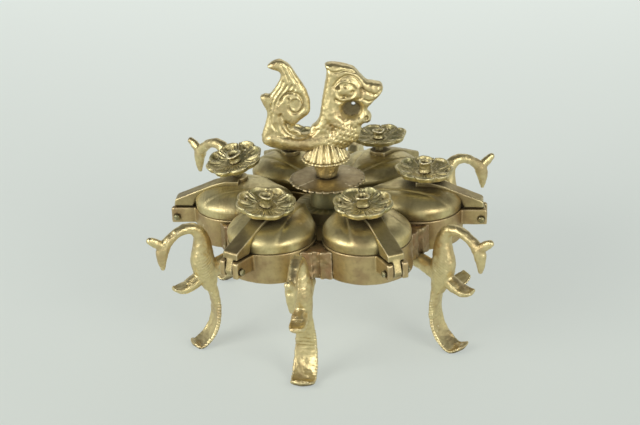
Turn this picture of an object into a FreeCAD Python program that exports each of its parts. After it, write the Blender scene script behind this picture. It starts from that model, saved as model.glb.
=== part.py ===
"""Cast brass powder box on six bird-shaped legs.

Six mango-shaped cups stand in a ring round a centre drum. Each cup has a domed lid that swings
outward on a pinned hinge, and a flower knob riveted to it. A bird finial screws down over a
scalloped disc on a stud in the middle.

Frame: millimetres, +Z up, origin on the ground under the middle of the ring. Compartment 1 points
along +X and the others follow counter-clockwise. A compartment or a leg is made once, pointing
along +X, and turned into place.
"""

import FreeCAD, Part
import math
import os
from FreeCAD import Placement, Rotation, Vector

# ---------------------------------------------------------------- driving dimensions
COUNT = 6                      # compartments, and as many legs
RUN = 0.05                     # clearance between pieces soldered or riveted together
PIN_PLAY = 0.07                # radial play of a knuckle on its hinge pin

CUP_RING_R = 34.0              # ring axis to the middle of a cup
CUP_R = 16.0                   # outer radius of a cup's round end
CUP_TIP_R = 10.6               # ring axis to the point of the cup's outline, before the drum cuts it
CUP_WALL = 1.5
CUP_FLOOR = 1.6
CUP_BOTTOM_Z = 34.3
CUP_TOP_Z = 45.5

LID_INSET = 0.1                # the lid's outline lies this far inside the cup's
LID_TIP_R = 12.8               # ring axis to the lid's point, under the edge of the disc
LID_HEIGHT = 8.7               # rim of the cup to the top of the dome
LID_WALL = 1.3
LID_BAND = (2.6, 3.8)          # upright band round the lid's foot, at its round end and at its point
LID_POWER = (2.4, 3.6)         # fullness of the dome, at its round end and at its point
STRIP_STEP = 0.7               # how far the middle strip stands above the side lobes
STRIP_HALF_DEG = 18.0          # half the strip's width, seen from the lid's point
LOBE_SPAN_DEG = 46.0           # width of a side lobe, seen from the lid's point
LOBE_BULGE = 1.3               # how far the side lobes swell

HINGE_OUT = 6.8                # outside of the cup to the hinge axis
HINGE_Z = 41.8
PIN_R = 0.9
PIN_LENGTH = 9.4
KNUCKLE_WIDTH = 3.0
KNUCKLE_R = 2.2
LUG_WIDTH = 2.2
LUG_FACE = 2.1                 # hinge axis to the lugs' outer face
LUG_DROP = 2.3                 # hinge axis to the lugs' underside
LUG_CORNER_R = 3.9             # the lugs' corners lie on this circle about the hinge axis
HINGE_PLAY = 0.25              # side gap between knuckle and lug

STRAP_WIDTH = 6.4
STRAP_THICK = 1.6
STRAP_FOOT_THICK = 2.5         # depth of the strap's end over the hinge

KNOB_R = 35.5                  # ring axis to the rivet
EYE_MARGIN = 0.6               # the strap's eye is this much wider than its blade, each side
RIVET_R = 1.6
RIVET_HEAD_R = 3.0
RIVET_HEAD_T = 0.9
ROSETTE_R = 10.9
ROSETTE_T = 1.6
ROSETTE_SAUCER_R = 34.0        # radius of the sphere that the rosette's saucer follows
PETALS = 8
BUD_R = 2.9
# each knob is set by hand, knob 1 first: how far outward and sideways it stands from its place, the
# gap between strap and flower, the bud's height over that gap, and its lean towards +X and +Y
KNOB_OFFSETS = ((0.3, 0.8), (0.0, 1.0), (0.0, 0.0), (-1.5, -3.4), (0.7, -2.1), (-1.3, -3.0))
ROSETTE_LIFTS = (0.5, 3.0, 2.6, 4.4, 0.9, 0.7)
BUD_HEIGHTS = (6.0, 4.9, 4.7, 5.3, 6.1, 5.8)
ROSETTE_TILTS = ((3.0, -2.0), (0.0, 0.0), (0.0, -3.0), (-10.0, -12.0), (6.0, -7.0), (0.0, -6.0))

DRUM_R = 11.8
DRUM_TOP_Z = 46.5
DRUM_BOSS_R = 5.2
WEB_Z = 40.5
WEB_T = 1.4
WEB_OUTER_R = 37.0

DISC_R = 14.1
DISC_EDGE_T = 1.1
DISC_CROWN = 0.8               # the disc is this much higher at its middle
DISC_BOTTOM_Z = 55.4
DISC_TEETH = 28
DISC_TOOTH = 0.35              # depth of the scallops round the disc

STUD_R = 2.5
STUD_PLAY = 0.1
STUD_TOP_Z = 64.0
THREAD_PITCH = 1.5
THREAD_DEPTH = 0.35
NUT_R = 5.0
NUT_T = 3.0
WASHER_R = 7.0
WASHER_T = 1.0

NECK_FOOT_R = 3.7
NECK_TOP_R = 5.0
COLLAR_EDGE_Z = 62.6
COLLAR_R = 9.2
COLLAR_T = 1.3
COLLAR_TOP_Z = 68.2
COLLAR_RIBS = 12
COLLAR_RIB_CUT = 0.55

FINIAL_TURN_DEG = 7.0          # the bird looks along +X, turned by this
SPIGOT_R = 2.0
SPIGOT_LENGTH = 3.0
TAIL_THICK = 4.6
HEAD_THICK = 6.6
BEAK_HOLE_R = 0.7

BRACKET_IN_R = 30.0
BRACKET_OUT_R = 41.0
BRACKET_TOP_Z = 44.6
BRACKET_GROOVE_R = 1.6
# each leg is set by hand, leg 1 first: degrees round from the middle of its gap, how much higher
# its bird stands, and how much longer its neck is
LEG_LEANS = (0.5, -5.0, -3.0, 0.5, -5.0, 0.0)
LEG_RAISES = (3.0, 0.0, 6.0, 0.0, 0.0, 0.0)
NECK_STRETCHES = (2.2, 0.0, 4.6, 0.0, 0.0, 0.0)
FOOT_CURLS = (1.0, 1.0, 1.0, 0.5, 1.0, 1.0)         # share of the toe that is left on each foot
FOOT_SINK = 0.25               # the foot is cast this much too low, then filed flat

HINGE_R = CUP_RING_R + CUP_R + HINGE_OUT
STEP = 360.0 / COUNT
HALF_STEP = STEP / 2
ORIGIN = Vector(0, 0, 0)
UP = Vector(0, 0, 1)
BIG = 200.0


# ---------------------------------------------------------------- shared helpers
def turned(shape, degrees):
    """A copy of shape turned about the ring's axis."""
    copy = shape.copy()
    copy.rotate(ORIGIN, UP, degrees)
    return copy


def fused(first, *others):
    """One solid made of several that overlap."""
    return first.fuse(list(others)).removeSplitter()


def cylinder(radius, bottom, top, x=0.0, y=0.0):
    return Part.makeCylinder(radius, top - bottom, Vector(x, y, bottom))


def cross_cylinder(radius, length, x, z):
    """A cylinder along Y, centred on the XZ plane."""
    return Part.makeCylinder(radius, length, Vector(x, -length / 2, z), Vector(0, 1, 0))


def block(x0, x1, y0, y1, z0, z1):
    return Part.makeBox(x1 - x0, y1 - y0, z1 - z0, Vector(x0, y0, z0))


def teardrop_half_angle(radius, tip):
    """Half the angle at the point of a teardrop, in radians."""
    return math.asin(radius / (CUP_RING_R - tip))


def teardrop_face(radius, tip, z):
    """A round end about the cup's middle, with straight sides that run in to a point near the drum."""
    half = teardrop_half_angle(radius, tip)
    x = CUP_RING_R - radius * math.sin(half)
    y = radius * math.cos(half)
    point, left, right = Vector(tip, 0, z), Vector(x, y, z), Vector(x, -y, z)
    far = Vector(CUP_RING_R + radius, 0, z)
    edges = [
        Part.makeLine(point, right),
        Part.Arc(right, far, left).toShape(),
        Part.makeLine(left, point),
    ]
    return Part.Face(Part.Wire(edges))


def teardrop_prism(radius, tip, bottom, top):
    return teardrop_face(radius, tip, bottom).extrude(Vector(0, 0, top - bottom))


def inner_tip(radius, tip, wall):
    """Where the point of the outline lies after it moves in by a wall."""
    return tip + wall / math.sin(teardrop_half_angle(radius, tip))


def section(x, z, along, half_depth, half_width):
    """An elliptic section centred on (x, 0, z), square to the direction along, in the XZ plane."""
    normal = Vector(along[0], 0, along[1]).normalize()
    depth = Vector(-normal.z, 0, normal.x)
    if half_depth >= half_width:
        major, minor, axis = half_depth, half_width, depth
    else:
        major, minor, axis = half_width, half_depth, Vector(0, 1, 0)
    across = normal.cross(axis)
    centre = Vector(x, 0, z)
    ring = []
    for quarter in range(8):
        a = quarter * math.pi / 4
        ring.append(centre + axis * (major * math.cos(a)) + across * (minor * math.sin(a)))
    if half_depth < half_width:
        ring = ring[2:] + ring[:2]
    curve = Part.BSplineCurve()
    curve.interpolate(Points=ring, PeriodicFlag=True)
    return Part.Wire([curve.toShape()])


def rounded(stations, parts=3):
    """Stations along a smooth curve through the given ones, with parts to each stretch."""
    last = len(stations) - 1
    line = []
    for i in range(last):
        around = [stations[min(max(i + k, 0), last)] for k in (-1, 0, 1, 2)]
        for part in range(parts):
            t = part / parts
            station = []
            for before, start, end, after in zip(*around):
                bend = 2 * before - 5 * start + 4 * end - after
                twist = 3 * start - before - 3 * end + after
                station.append(start + 0.5 * ((end - before) * t + bend * t ** 2 + twist * t ** 3))
            line.append(tuple(station))
    return line + [tuple(stations[-1])]


def limb(stations, parts=3):
    """A rounded limb through stations of (x, z, half depth, half width)."""
    line = rounded(stations, parts)
    wires = []
    for i, (x, z, depth, width) in enumerate(line):
        before, after = line[max(i - 1, 0)], line[min(i + 1, len(line) - 1)]
        along = (after[0] - before[0], after[1] - before[1])
        wires.append(section(x, z, along, depth, width))
    solid = Part.makeLoft(wires, True, parts > 1)
    if solid.Volume < 0:
        solid.reverse()
    return solid


def plate(points, thick):
    """A flat plate in the XZ plane with a smooth closed outline."""
    curve = Part.BSplineCurve()
    curve.interpolate(Points=[Vector(x, -thick / 2, z) for x, z in points], PeriodicFlag=True)
    return Part.Face(Part.Wire([curve.toShape()])).extrude(Vector(0, thick, 0))


def ball(x, z, rx, ry, rz, y=0.0):
    """An ellipsoid."""
    scale = FreeCAD.Matrix(rx, 0, 0, x, 0, ry, 0, y, 0, 0, rz, z, 0, 0, 0, 1)
    return Part.makeSphere(1.0).transformGeometry(scale)


# ---------------------------------------------------------------- compartments
def cup():
    outer = teardrop_prism(CUP_R, CUP_TIP_R, CUP_BOTTOM_Z, CUP_TOP_Z)
    hollow_r = CUP_R - CUP_WALL
    hollow_tip = inner_tip(CUP_R, CUP_TIP_R, CUP_WALL)
    hollow = teardrop_prism(hollow_r, hollow_tip, CUP_BOTTOM_Z + CUP_FLOOR, CUP_TOP_Z + 1)
    lug_reach = CUP_RING_R + CUP_R - CUP_WALL / 2
    lug_top = CUP_TOP_Z - RUN
    pieces = []
    for side in (-1, 1):
        inner = side * (KNUCKLE_WIDTH / 2 + HINGE_PLAY)
        y0, y1 = sorted((inner, inner + side * LUG_WIDTH))
        arm = block(lug_reach, HINGE_R, y0, y1, HINGE_Z - LUG_DROP, lug_top)
        end = block(HINGE_R, HINGE_R + LUG_FACE, y0, y1, HINGE_Z - LUG_DROP, lug_top)
        end = end.common(cross_cylinder(LUG_CORNER_R, BIG, HINGE_R, HINGE_Z))
        pieces += [arm, end]
    body = fused(outer, *pieces)
    bore = cross_cylinder(PIN_R + RUN / 2, BIG, HINGE_R, HINGE_Z)
    drum = cylinder(DRUM_R + RUN, CUP_BOTTOM_Z - 1, CUP_TOP_Z + 1)
    return body.cut(hollow).cut(bore).cut(drum)


def between(ends, share):
    """The value at a share of the way from the first of two ends to the second."""
    return ends[0] + (ends[1] - ends[0]) * share


def eased(value, start, end):
    """A smooth rise from 0 at start to 1 at end."""
    share = min(1.0, max(0.0, (value - start) / (end - start)))
    return share * share * (3 - 2 * share)


def dome_height(x, y, radius, tip, sink, lobed):
    """Height of the dome over (x, y), lowered by sink. It falls away past the teardrop's outline."""
    dx, dy = x - CUP_RING_R, y
    reach = math.hypot(dx, dy)
    from_tip = abs(math.atan2(dy, -dx))
    turn = math.pi / 2 - teardrop_half_angle(radius, tip)
    edge = radius / math.cos(turn - from_tip) if from_tip < turn else radius
    share = reach / edge
    inward = (1 + math.cos(from_tip)) / 2
    low = CUP_TOP_Z + between(LID_BAND, inward ** 2) - sink * 0.8
    top = CUP_TOP_Z + LID_HEIGHT - sink
    height = low + (top - low) * (1 - share ** between(LID_POWER, inward))
    if lobed and share < 1:
        aside = abs(math.degrees(math.atan2(y, x - tip + LID_WALL)))
        beside = eased(aside, STRIP_HALF_DEG - 1.5, STRIP_HALF_DEG + 2.5)
        phase = min(1.0, max(0.0, (aside - STRIP_HALF_DEG) / LOBE_SPAN_DEG))
        pillow = math.sin(math.pi * phase) ** 0.6
        height -= STRIP_STEP * beside * min(1.0, 3 * share) * (1 - share ** 8)
        height += LOBE_BULGE * pillow * (1 - share ** 3) * min(1.0, 2 * share)
    return height


def dome_solid(radius, tip, sink, lobed):
    """Everything under the dome and above the rim of the cup."""
    prism = teardrop_prism(radius, tip, CUP_TOP_Z + RUN, CUP_TOP_Z + 30)
    margin, cells = 1.5, 34
    x0, x1 = tip - margin, CUP_RING_R + radius + margin
    y1 = radius + margin
    grid = []
    for i in range(cells + 1):
        x = x0 + (x1 - x0) * i / cells
        row = []
        for j in range(cells + 1):
            y = y1 * (2 * j / cells - 1)
            row.append(Vector(x, y, dome_height(x, y, radius, tip, sink, lobed)))
        grid.append(row)
    skin = Part.BSplineSurface()
    skin.interpolate(grid)
    under = skin.toShape().extrude(Vector(0, 0, -BIG))
    return prism.common(under)


def knob_place(number):
    """Where the rivet of a compartment stands, as if that compartment pointed along +X."""
    out, aside = KNOB_OFFSETS[number % len(KNOB_OFFSETS)]
    return KNOB_R + out, aside


LID_SINK = LID_WALL + STRIP_STEP * 0.6                  # top of the strip to the lid's inside
LID_TOP_Z = CUP_TOP_Z + LID_HEIGHT
STRAP_TOP_Z = LID_TOP_Z + STRAP_THICK
STRAP_END_R = HINGE_R + 0.7
STRAP_FOOT_Z = CUP_TOP_Z + 0.45                         # underside of the strap over the hinge


def lid_outer():
    return dome_solid(CUP_R - LID_INSET, LID_TIP_R, 0.0, True)


def lid_hollow_outline():
    """Radius and point of the teardrop inside the lid's wall."""
    radius = CUP_R - LID_INSET
    return radius - LID_WALL, inner_tip(radius, LID_TIP_R, LID_WALL)


def lid_blank(outer):
    """The lid before its rivet hole is drilled."""
    return outer.cut(dome_solid(*lid_hollow_outline(), LID_SINK, False))


def lid(blank, number):
    return blank.cut(cylinder(RIVET_R + RUN, CUP_TOP_Z, CUP_TOP_Z + 40, *knob_place(number)))


def strap(outer, number):
    """The hinge strap: an eye under the flower knob, a slope down the dome and a knuckle."""
    half = STRAP_WIDTH / 2
    knob_x, knob_y = knob_place(number)
    profile = [
        (KNOB_R - half * 0.2, STRAP_TOP_Z),
        (KNOB_R + 3.5, STRAP_TOP_Z - 0.1),
        (KNOB_R + 10.0, STRAP_TOP_Z - 1.6),
        (STRAP_END_R, STRAP_FOOT_Z + STRAP_FOOT_THICK),
        (STRAP_END_R, STRAP_FOOT_Z),
        (KNOB_R - half * 0.2, STRAP_FOOT_Z),
    ]
    corners = [Vector(x, -half, z) for x, z in profile]
    face = Part.Face(Part.makePolygon(corners + corners[:1]))
    blade = face.extrude(Vector(0, STRAP_WIDTH, 0))
    eye = cylinder(half + EYE_MARGIN, STRAP_FOOT_Z, STRAP_TOP_Z, knob_x, knob_y)
    knuckle = cross_cylinder(KNUCKLE_R, KNUCKLE_WIDTH, HINGE_R, HINGE_Z)
    shank = block(HINGE_R - KNUCKLE_R, STRAP_END_R, -KNUCKLE_WIDTH / 2, KNUCKLE_WIDTH / 2, HINGE_Z, STRAP_FOOT_Z + 1)
    body = fused(blade, eye, knuckle, shank)
    swollen = outer.copy()
    swollen.translate(Vector(0, 0, RUN))
    bore = cross_cylinder(PIN_R + PIN_PLAY, BIG, HINGE_R, HINGE_Z)
    hole = cylinder(RIVET_R + RUN, CUP_TOP_Z, BIG, knob_x, knob_y)
    body = body.cut(swollen).cut(bore).cut(hole)
    return max(body.Solids, key=lambda s: s.Volume)


def hinge_pin():
    shaft = cross_cylinder(PIN_R, PIN_LENGTH, HINGE_R, HINGE_Z)
    ends = []
    for side in (-1, 1):
        head = ball(HINGE_R, HINGE_Z, PIN_R * 1.35, 0.7, PIN_R * 1.35, side * PIN_LENGTH / 2)
        ends.append(head)
    return fused(shaft, *ends)


def knob_pivot(number):
    """Where a flower knob tilts on its rivet."""
    x, y = knob_place(number)
    return Vector(x, y, STRAP_TOP_Z + ROSETTE_LIFTS[number % len(ROSETTE_LIFTS)] / 2)


def tilted(shape, number):
    """A copy of a knob piece, leaning as the knob of that compartment does."""
    lean_x, lean_y = ROSETTE_TILTS[number % len(ROSETTE_TILTS)]
    lean = math.hypot(lean_x, lean_y)
    if lean == 0:
        return shape.copy()
    downhill = math.atan2(lean_y, lean_x) - math.radians(STEP * number)
    axis = Vector(-math.sin(downhill), math.cos(downhill), 0)
    copy = shape.copy()
    copy.rotate(knob_pivot(number), axis, lean)
    return copy


def rosette():
    """An open flower of concave petals on a shallow saucer, standing on the origin."""
    petal_r = ROSETTE_R * math.sin(math.pi / PETALS) / (1 + math.sin(math.pi / PETALS)) * 1.18
    ring = ROSETTE_R - petal_r
    rise = ROSETTE_SAUCER_R - math.sqrt(ROSETTE_SAUCER_R ** 2 - ring ** 2)
    dish_r = petal_r * 1.6
    dish_z = ROSETTE_T * 0.55 + rise + dish_r
    leaves, dishes = [], []
    for i in range(PETALS):
        a = 2 * math.pi * (i + 0.5) / PETALS
        x, y = ring * math.cos(a), ring * math.sin(a)
        leaves.append(cylinder(petal_r, -1, 6, x, y))
        dishes.append(Part.makeSphere(dish_r, Vector(x, y, dish_z)))
    outline = fused(cylinder(ring, -1, 6), *leaves)
    centre = Vector(0, 0, ROSETTE_SAUCER_R)
    saucer = Part.makeSphere(ROSETTE_SAUCER_R, centre)
    inside = Part.makeSphere(ROSETTE_SAUCER_R - ROSETTE_T, centre)
    flower = outline.common(saucer).cut(inside)
    for dish in dishes:
        flower = flower.cut(dish)
    return flower.cut(cylinder(RIVET_R + RUN, -BIG, BIG))


def flower_bottom(number):
    """Height of the middle of a flower's underside, before it leans."""
    return STRAP_TOP_Z + ROSETTE_LIFTS[number % len(ROSETTE_LIFTS)]


def flower(blank, number):
    """The flower on the strap of a compartment."""
    placed = blank.copy()
    placed.translate(Vector(*knob_place(number), flower_bottom(number)))
    return tilted(placed, number)


def rivet(number):
    """The rivet through lid, strap and flower, with a hollow bud on top and a head inside the lid."""
    x, y = knob_place(number)
    pivot = knob_pivot(number)
    rim = [2 * math.pi * i / 12 for i in range(12)]
    inside = lid_hollow_outline()
    clear = [
        dome_height(x + RIVET_HEAD_R * math.cos(a), y + RIVET_HEAD_R * math.sin(a), *inside, LID_SINK, False)
        for a in rim
    ]
    head_top = min(clear) - 2 * RUN
    shank = cylinder(RIVET_R, head_top - RIVET_HEAD_T, pivot.z, x, y)
    head = cylinder(RIVET_HEAD_R, head_top - RIVET_HEAD_T, head_top, x, y)
    joint = Part.makeSphere(RIVET_R, pivot)
    bottom = flower_bottom(number)
    collar = cylinder(RIVET_R * 1.5, pivot.z, bottom - RUN, x, y)
    bud_z = bottom + BUD_HEIGHTS[number % len(BUD_HEIGHTS)] - 1.5
    stem = cylinder(RIVET_R, pivot.z, bud_z + 1.5, x, y)
    bud = Part.makeCone(RIVET_R, BUD_R, 1.5, Vector(x, y, bud_z))
    bowl = Part.makeSphere(BUD_R * 0.75, Vector(x, y, bud_z + 1.5 + BUD_R * 0.3))
    top = fused(stem, collar, bud).cut(bowl)
    return fused(shank, head, joint, tilted(top, number))


# ---------------------------------------------------------------- middle
def drum():
    barrel = cylinder(DRUM_R, CUP_BOTTOM_Z, DRUM_TOP_Z)
    rise = DISC_BOTTOM_Z - RUN - DRUM_TOP_Z
    boss = Part.makeCone(DRUM_BOSS_R + 1.6, DRUM_BOSS_R, rise, Vector(0, 0, DRUM_TOP_Z))
    return fused(barrel, boss).cut(cylinder(STUD_R + RUN, 0, BIG))


def webs():
    """Flat webs that close the gaps between neighbouring cups."""
    ring = cylinder(WEB_OUTER_R, WEB_Z, WEB_Z + WEB_T).cut(cylinder(DRUM_R + RUN, 0, BIG))
    for i in range(COUNT):
        cup_room = teardrop_prism(CUP_R + RUN, CUP_TIP_R - 0.2, WEB_Z - 1, WEB_Z + WEB_T + 1)
        ring = ring.cut(turned(cup_room, i * STEP))
        bracket_room = block(BRACKET_IN_R - RUN, BIG, -10, 10, WEB_Z - 1, WEB_Z + WEB_T + 1)
        ring = ring.cut(turned(bracket_room, i * STEP + HALF_STEP))
    return Part.Compound([s for s in ring.Solids if s.Volume > 1.0])


def stud():
    """The centre stud. Rings stand for its thread above the disc."""
    bottom = CUP_BOTTOM_Z - WASHER_T - NUT_T - 1.2
    shaft = cylinder(STUD_R, bottom, STUD_TOP_Z)
    shaft = shaft.makeChamfer(0.5, [e for e in shaft.Edges if e.BoundBox.ZMin > STUD_TOP_Z - 0.01])
    first = DISC_BOTTOM_Z + DISC_EDGE_T + DISC_CROWN + THREAD_PITCH
    rings = int((STUD_TOP_Z - 1.0 - first) / THREAD_PITCH)
    for i in range(rings + 1):
        z = first + i * THREAD_PITCH
        outside = STUD_R + 0.2
        groove = Part.makePolygon([
            Vector(STUD_R - THREAD_DEPTH, 0, z),
            Vector(outside, 0, z - THREAD_PITCH * 0.35),
            Vector(outside, 0, z + THREAD_PITCH * 0.35),
            Vector(STUD_R - THREAD_DEPTH, 0, z),
        ])
        shaft = shaft.cut(Part.Face(groove).revolve(ORIGIN, UP, 360))
    return shaft


def washer():
    top = CUP_BOTTOM_Z - RUN
    return cylinder(WASHER_R, top - WASHER_T, top).cut(cylinder(STUD_R + RUN, 0, BIG))


def nut():
    top = CUP_BOTTOM_Z - 2 * RUN - WASHER_T
    corners = []
    for i in range(7):
        a = math.pi * i / 3
        corners.append(Vector(NUT_R * math.cos(a), NUT_R * math.sin(a), top - NUT_T))
    hexagon = Part.Face(Part.makePolygon(corners)).extrude(Vector(0, 0, NUT_T))
    return hexagon.cut(cylinder(STUD_R + RUN, 0, BIG))


def lock_disc():
    """The scalloped disc over the points of the lids."""
    top = DISC_BOTTOM_Z + DISC_EDGE_T
    crown_r = (DISC_R ** 2 + DISC_CROWN ** 2) / (2 * DISC_CROWN)
    cap = Part.makeSphere(crown_r, Vector(0, 0, top + DISC_CROWN - crown_r))
    body = cylinder(DISC_R, DISC_BOTTOM_Z, top + DISC_CROWN + 1).common(cap)
    tooth_r = math.pi * DISC_R / DISC_TEETH * 0.75
    off = DISC_R - DISC_TOOTH + tooth_r
    for i in range(DISC_TEETH):
        a = 2 * math.pi * i / DISC_TEETH
        x, y = off * math.cos(a), off * math.sin(a)
        body = body.cut(cylinder(tooth_r, DISC_BOTTOM_Z - 1, top + 3, x, y))
    seat_z = top + DISC_CROWN - 0.12
    seat = cylinder(NECK_FOOT_R + 0.3, seat_z, seat_z + 5)
    return body.cut(seat).cut(cylinder(STUD_R + STUD_PLAY, 0, BIG))


COLLAR_FOOT_Z = DISC_BOTTOM_Z + DISC_EDGE_T + DISC_CROWN - 0.12 + RUN


def collar_blank(grow):
    """The collar before it is ribbed and bored, grown upward and outward by a clearance."""
    edge_r, top = COLLAR_R + grow, COLLAR_TOP_Z + grow
    outline = [
        Vector(0, 0, COLLAR_FOOT_Z),
        Vector(NECK_FOOT_R, 0, COLLAR_FOOT_Z),
        Vector(NECK_TOP_R, 0, COLLAR_EDGE_Z + 0.4),
        Vector(edge_r, 0, COLLAR_EDGE_Z),
        Vector(edge_r, 0, COLLAR_EDGE_Z + COLLAR_T),
    ]
    shoulder = Vector(edge_r * 0.74, 0, COLLAR_EDGE_Z + (top - COLLAR_EDGE_Z) * 0.78)
    crown = Vector(COLLAR_R * 0.3, 0, top)
    edges = [Part.makeLine(a, b) for a, b in zip(outline, outline[1:])]
    edges.append(Part.Arc(outline[-1], shoulder, crown).toShape())
    edges.append(Part.makeLine(crown, Vector(0, 0, top)))
    edges.append(Part.makeLine(Vector(0, 0, top), outline[0]))
    return Part.Face(Part.Wire(edges)).revolve(ORIGIN, UP, 360)


def collar():
    """The lotus collar: a ribbed cap on a threaded neck, which turns on the stud."""
    body = collar_blank(0.0)
    for i in range(COLLAR_RIBS):
        a = 2 * math.pi * (i + 0.5) / COLLAR_RIBS
        off = COLLAR_R + 1.6 - COLLAR_RIB_CUT
        groove = Part.makeCone(1.6, 0.5, COLLAR_TOP_Z - COLLAR_EDGE_Z, Vector(0, 0, COLLAR_EDGE_Z - 0.5))
        lean = math.degrees(math.atan2(COLLAR_R * 0.55, COLLAR_TOP_Z - COLLAR_EDGE_Z))
        groove.rotate(Vector(0, 0, COLLAR_EDGE_Z), Vector(0, 1, 0), -lean)
        groove.translate(Vector(off, 0, 0))
        groove.rotate(ORIGIN, UP, math.degrees(a))
        body = body.cut(groove)
    thread = cylinder(STUD_R + STUD_PLAY, 0, STUD_TOP_Z + 0.6)
    socket = cylinder(SPIGOT_R + RUN, COLLAR_TOP_Z - SPIGOT_LENGTH - RUN, BIG)
    return body.cut(thread).cut(socket)


def bird():
    """The bird on the finial: upright fan tail, hollow back, arched neck and hooked beak."""
    outline = [
        (-22.4, 70.4), (-23.2, 74.3), (-21.4, 79.4), (-20.8, 83.3), (-23.1, 88.5), (-21.4, 89.9),
        (-19.5, 89.5), (-15.6, 94.7), (-15.4, 98.0), (-19.9, 100.3), (-17.6, 102.2), (-14.8, 102.7),
        (-11.8, 100.4), (-9.3, 96.4), (-6.5, 91.6), (-5.0, 84.2), (-5.6, 82.2), (-9.3, 79.2),
        (-10.4, 77.8), (-12.6, 77.0), (-9.1, 74.9), (-4.9, 77.1), (-1.8, 80.5), (0.0, 90.2),
        (1.5, 97.8), (0.8, 100.5), (4.0, 101.0), (7.0, 100.4), (11.4, 98.5), (15.6, 93.7),
        (20.8, 92.4), (21.8, 90.8), (19.1, 86.6), (15.9, 83.2), (17.1, 80.0), (16.3, 77.3),
        (13.0, 77.6), (12.9, 75.5), (13.1, 69.9), (11.9, 66.8), (7.7, 65.7), (-9.1, 66.9),
        (-16.5, 69.2),
    ]
    corners = [Vector(x, -TAIL_THICK / 2, z) for x, z in outline]
    flat = Part.Face(Part.makePolygon(corners + corners[:1])).extrude(Vector(0, TAIL_THICK, 0))
    body = limb([
        (-20.4, 74.0, 2.4, 2.6),
        (-14.0, 71.6, 2.6, 3.6),
        (-6.0, 70.6, 3.6, 4.3),
        (1.0, 70.8, 4.4, 4.6),
        (6.6, 72.8, 5.0, 4.6),
        (7.6, 77.4, 4.8, 4.2),
        (5.0, 82.0, 4.4, 3.6),
        (4.6, 86.0, 4.0, 3.4),
        (5.2, 90.0, 3.8, 3.4),
    ], 1)
    head = plate([
        (1.6, 88.0), (2.2, 95.0), (4.6, 99.4), (8.6, 99.0), (12.4, 96.4), (15.0, 92.6), (18.6, 91.4),
        (17.6, 88.4), (12.6, 87.4), (7.0, 86.6),
    ], HEAD_THICK)
    wattle = ball(15.0, 79.8, 1.8, 2.8, 2.6)
    eyes = [ball(9.6, 91.2, 3.2, 1.2, 3.2, side * (HEAD_THICK / 2 + 0.02)) for side in (-1, 1)]
    spigot = cylinder(SPIGOT_R, COLLAR_TOP_Z - SPIGOT_LENGTH, 72.0)
    seat = collar_blank(RUN).cut(spigot)
    figure = fused(flat, body, head, wattle, *eyes, spigot)
    figure = figure.cut(cross_cylinder(BEAK_HOLE_R, BIG, 11.6, 84.6)).cut(seat)
    return turned(figure, FINIAL_TURN_DEG)


# ---------------------------------------------------------------- legs
def bracket():
    """The block soldered into the gap between two cups, with a groove down its face."""
    body = block(BRACKET_IN_R, BRACKET_OUT_R, -9, 9, CUP_BOTTOM_Z, BRACKET_TOP_Z)
    for side in (-1, 1):
        room = cylinder(CUP_R + RUN, 0, BIG, CUP_RING_R)
        body = body.cut(turned(room, side * HALF_STEP))
    return body.cut(cylinder(BRACKET_GROOVE_R, 0, BIG, BRACKET_OUT_R + BRACKET_GROOVE_R * 0.3))


def leg(raised, stretch, curl):
    """A bird with an arched neck and a hanging beak, on one long curved foot."""
    def lift(stations, most, least=0.0):
        """Stations raised in proportion to their height up to the body, and by most above it."""
        lifted = []
        for x, z, depth, width in stations:
            share = min(1.0, max(0.0, z / 28.0))
            lifted.append((x, z + max(least, most * share), depth, width))
        return lifted

    body = lift([
        (48.2, 22.5, 2.3, 2.9),
        (49.6, 28.5, 4.1, 3.6),
        (50.7, 34.0, 4.5, 3.9),
        (50.4, 39.5, 3.7, 3.3),
    ], raised)
    neck = lift([
        (50.7, 43.6, 2.8, 2.7),
        (52.4, 46.6, 2.3, 2.4),
        (55.4, 47.8, 2.0, 2.2),
        (59.2, 47.0, 1.8, 2.0),
        (62.8, 44.6, 1.9, 1.9),
        (65.2, 41.6, 2.5, 2.1),
        (65.9, 37.8, 1.9, 1.6),
        (65.8, 33.6, 0.7, 0.7),
    ], raised + stretch)
    crest = limb(lift([
        (65.0, 42.4, 2.0, 1.6),
        (68.2, 45.0, 1.8, 1.5),
        (70.8, 46.6, 1.3, 1.1),
    ], raised + stretch))
    tail = limb(lift([
        (51.0, 28.5, 3.0, 2.6),
        (55.6, 25.8, 2.4, 3.0),
        (59.6, 24.7, 1.8, 3.0),
        (63.0, 25.6, 0.8, 1.9),
    ], raised, raised))
    shin = limb(lift([
        (49.4, 28.0, 2.4, 2.6),
        (47.4, 20.5, 1.8, 3.1),
        (46.8, 14.0, 1.5, 3.5),
        (47.9, 8.2, 1.4, 3.8),
        (50.6, 3.8, 1.3, 4.0),
        (54.4, 1.3 - FOOT_SINK, 1.3, 4.0),
        (54.4 + 3.2 * curl, 1.2 + 0.9 * curl, 1.2, 3.4),
        (54.4 + 4.8 * curl, 1.6 + 2.0 * curl, 0.8, 2.2),
    ], raised))
    root = limb(lift([
        (38.0, 33.0, 2.8, 2.6),
        (42.5, 31.8, 3.0, 2.8),
        (47.5, 29.8, 3.4, 2.8),
    ], raised, raised))
    figure = fused(limb(body + neck), crest, tail, shin, root)
    return figure.cut(block(0, BIG, -20, 20, -5, 0))


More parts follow.
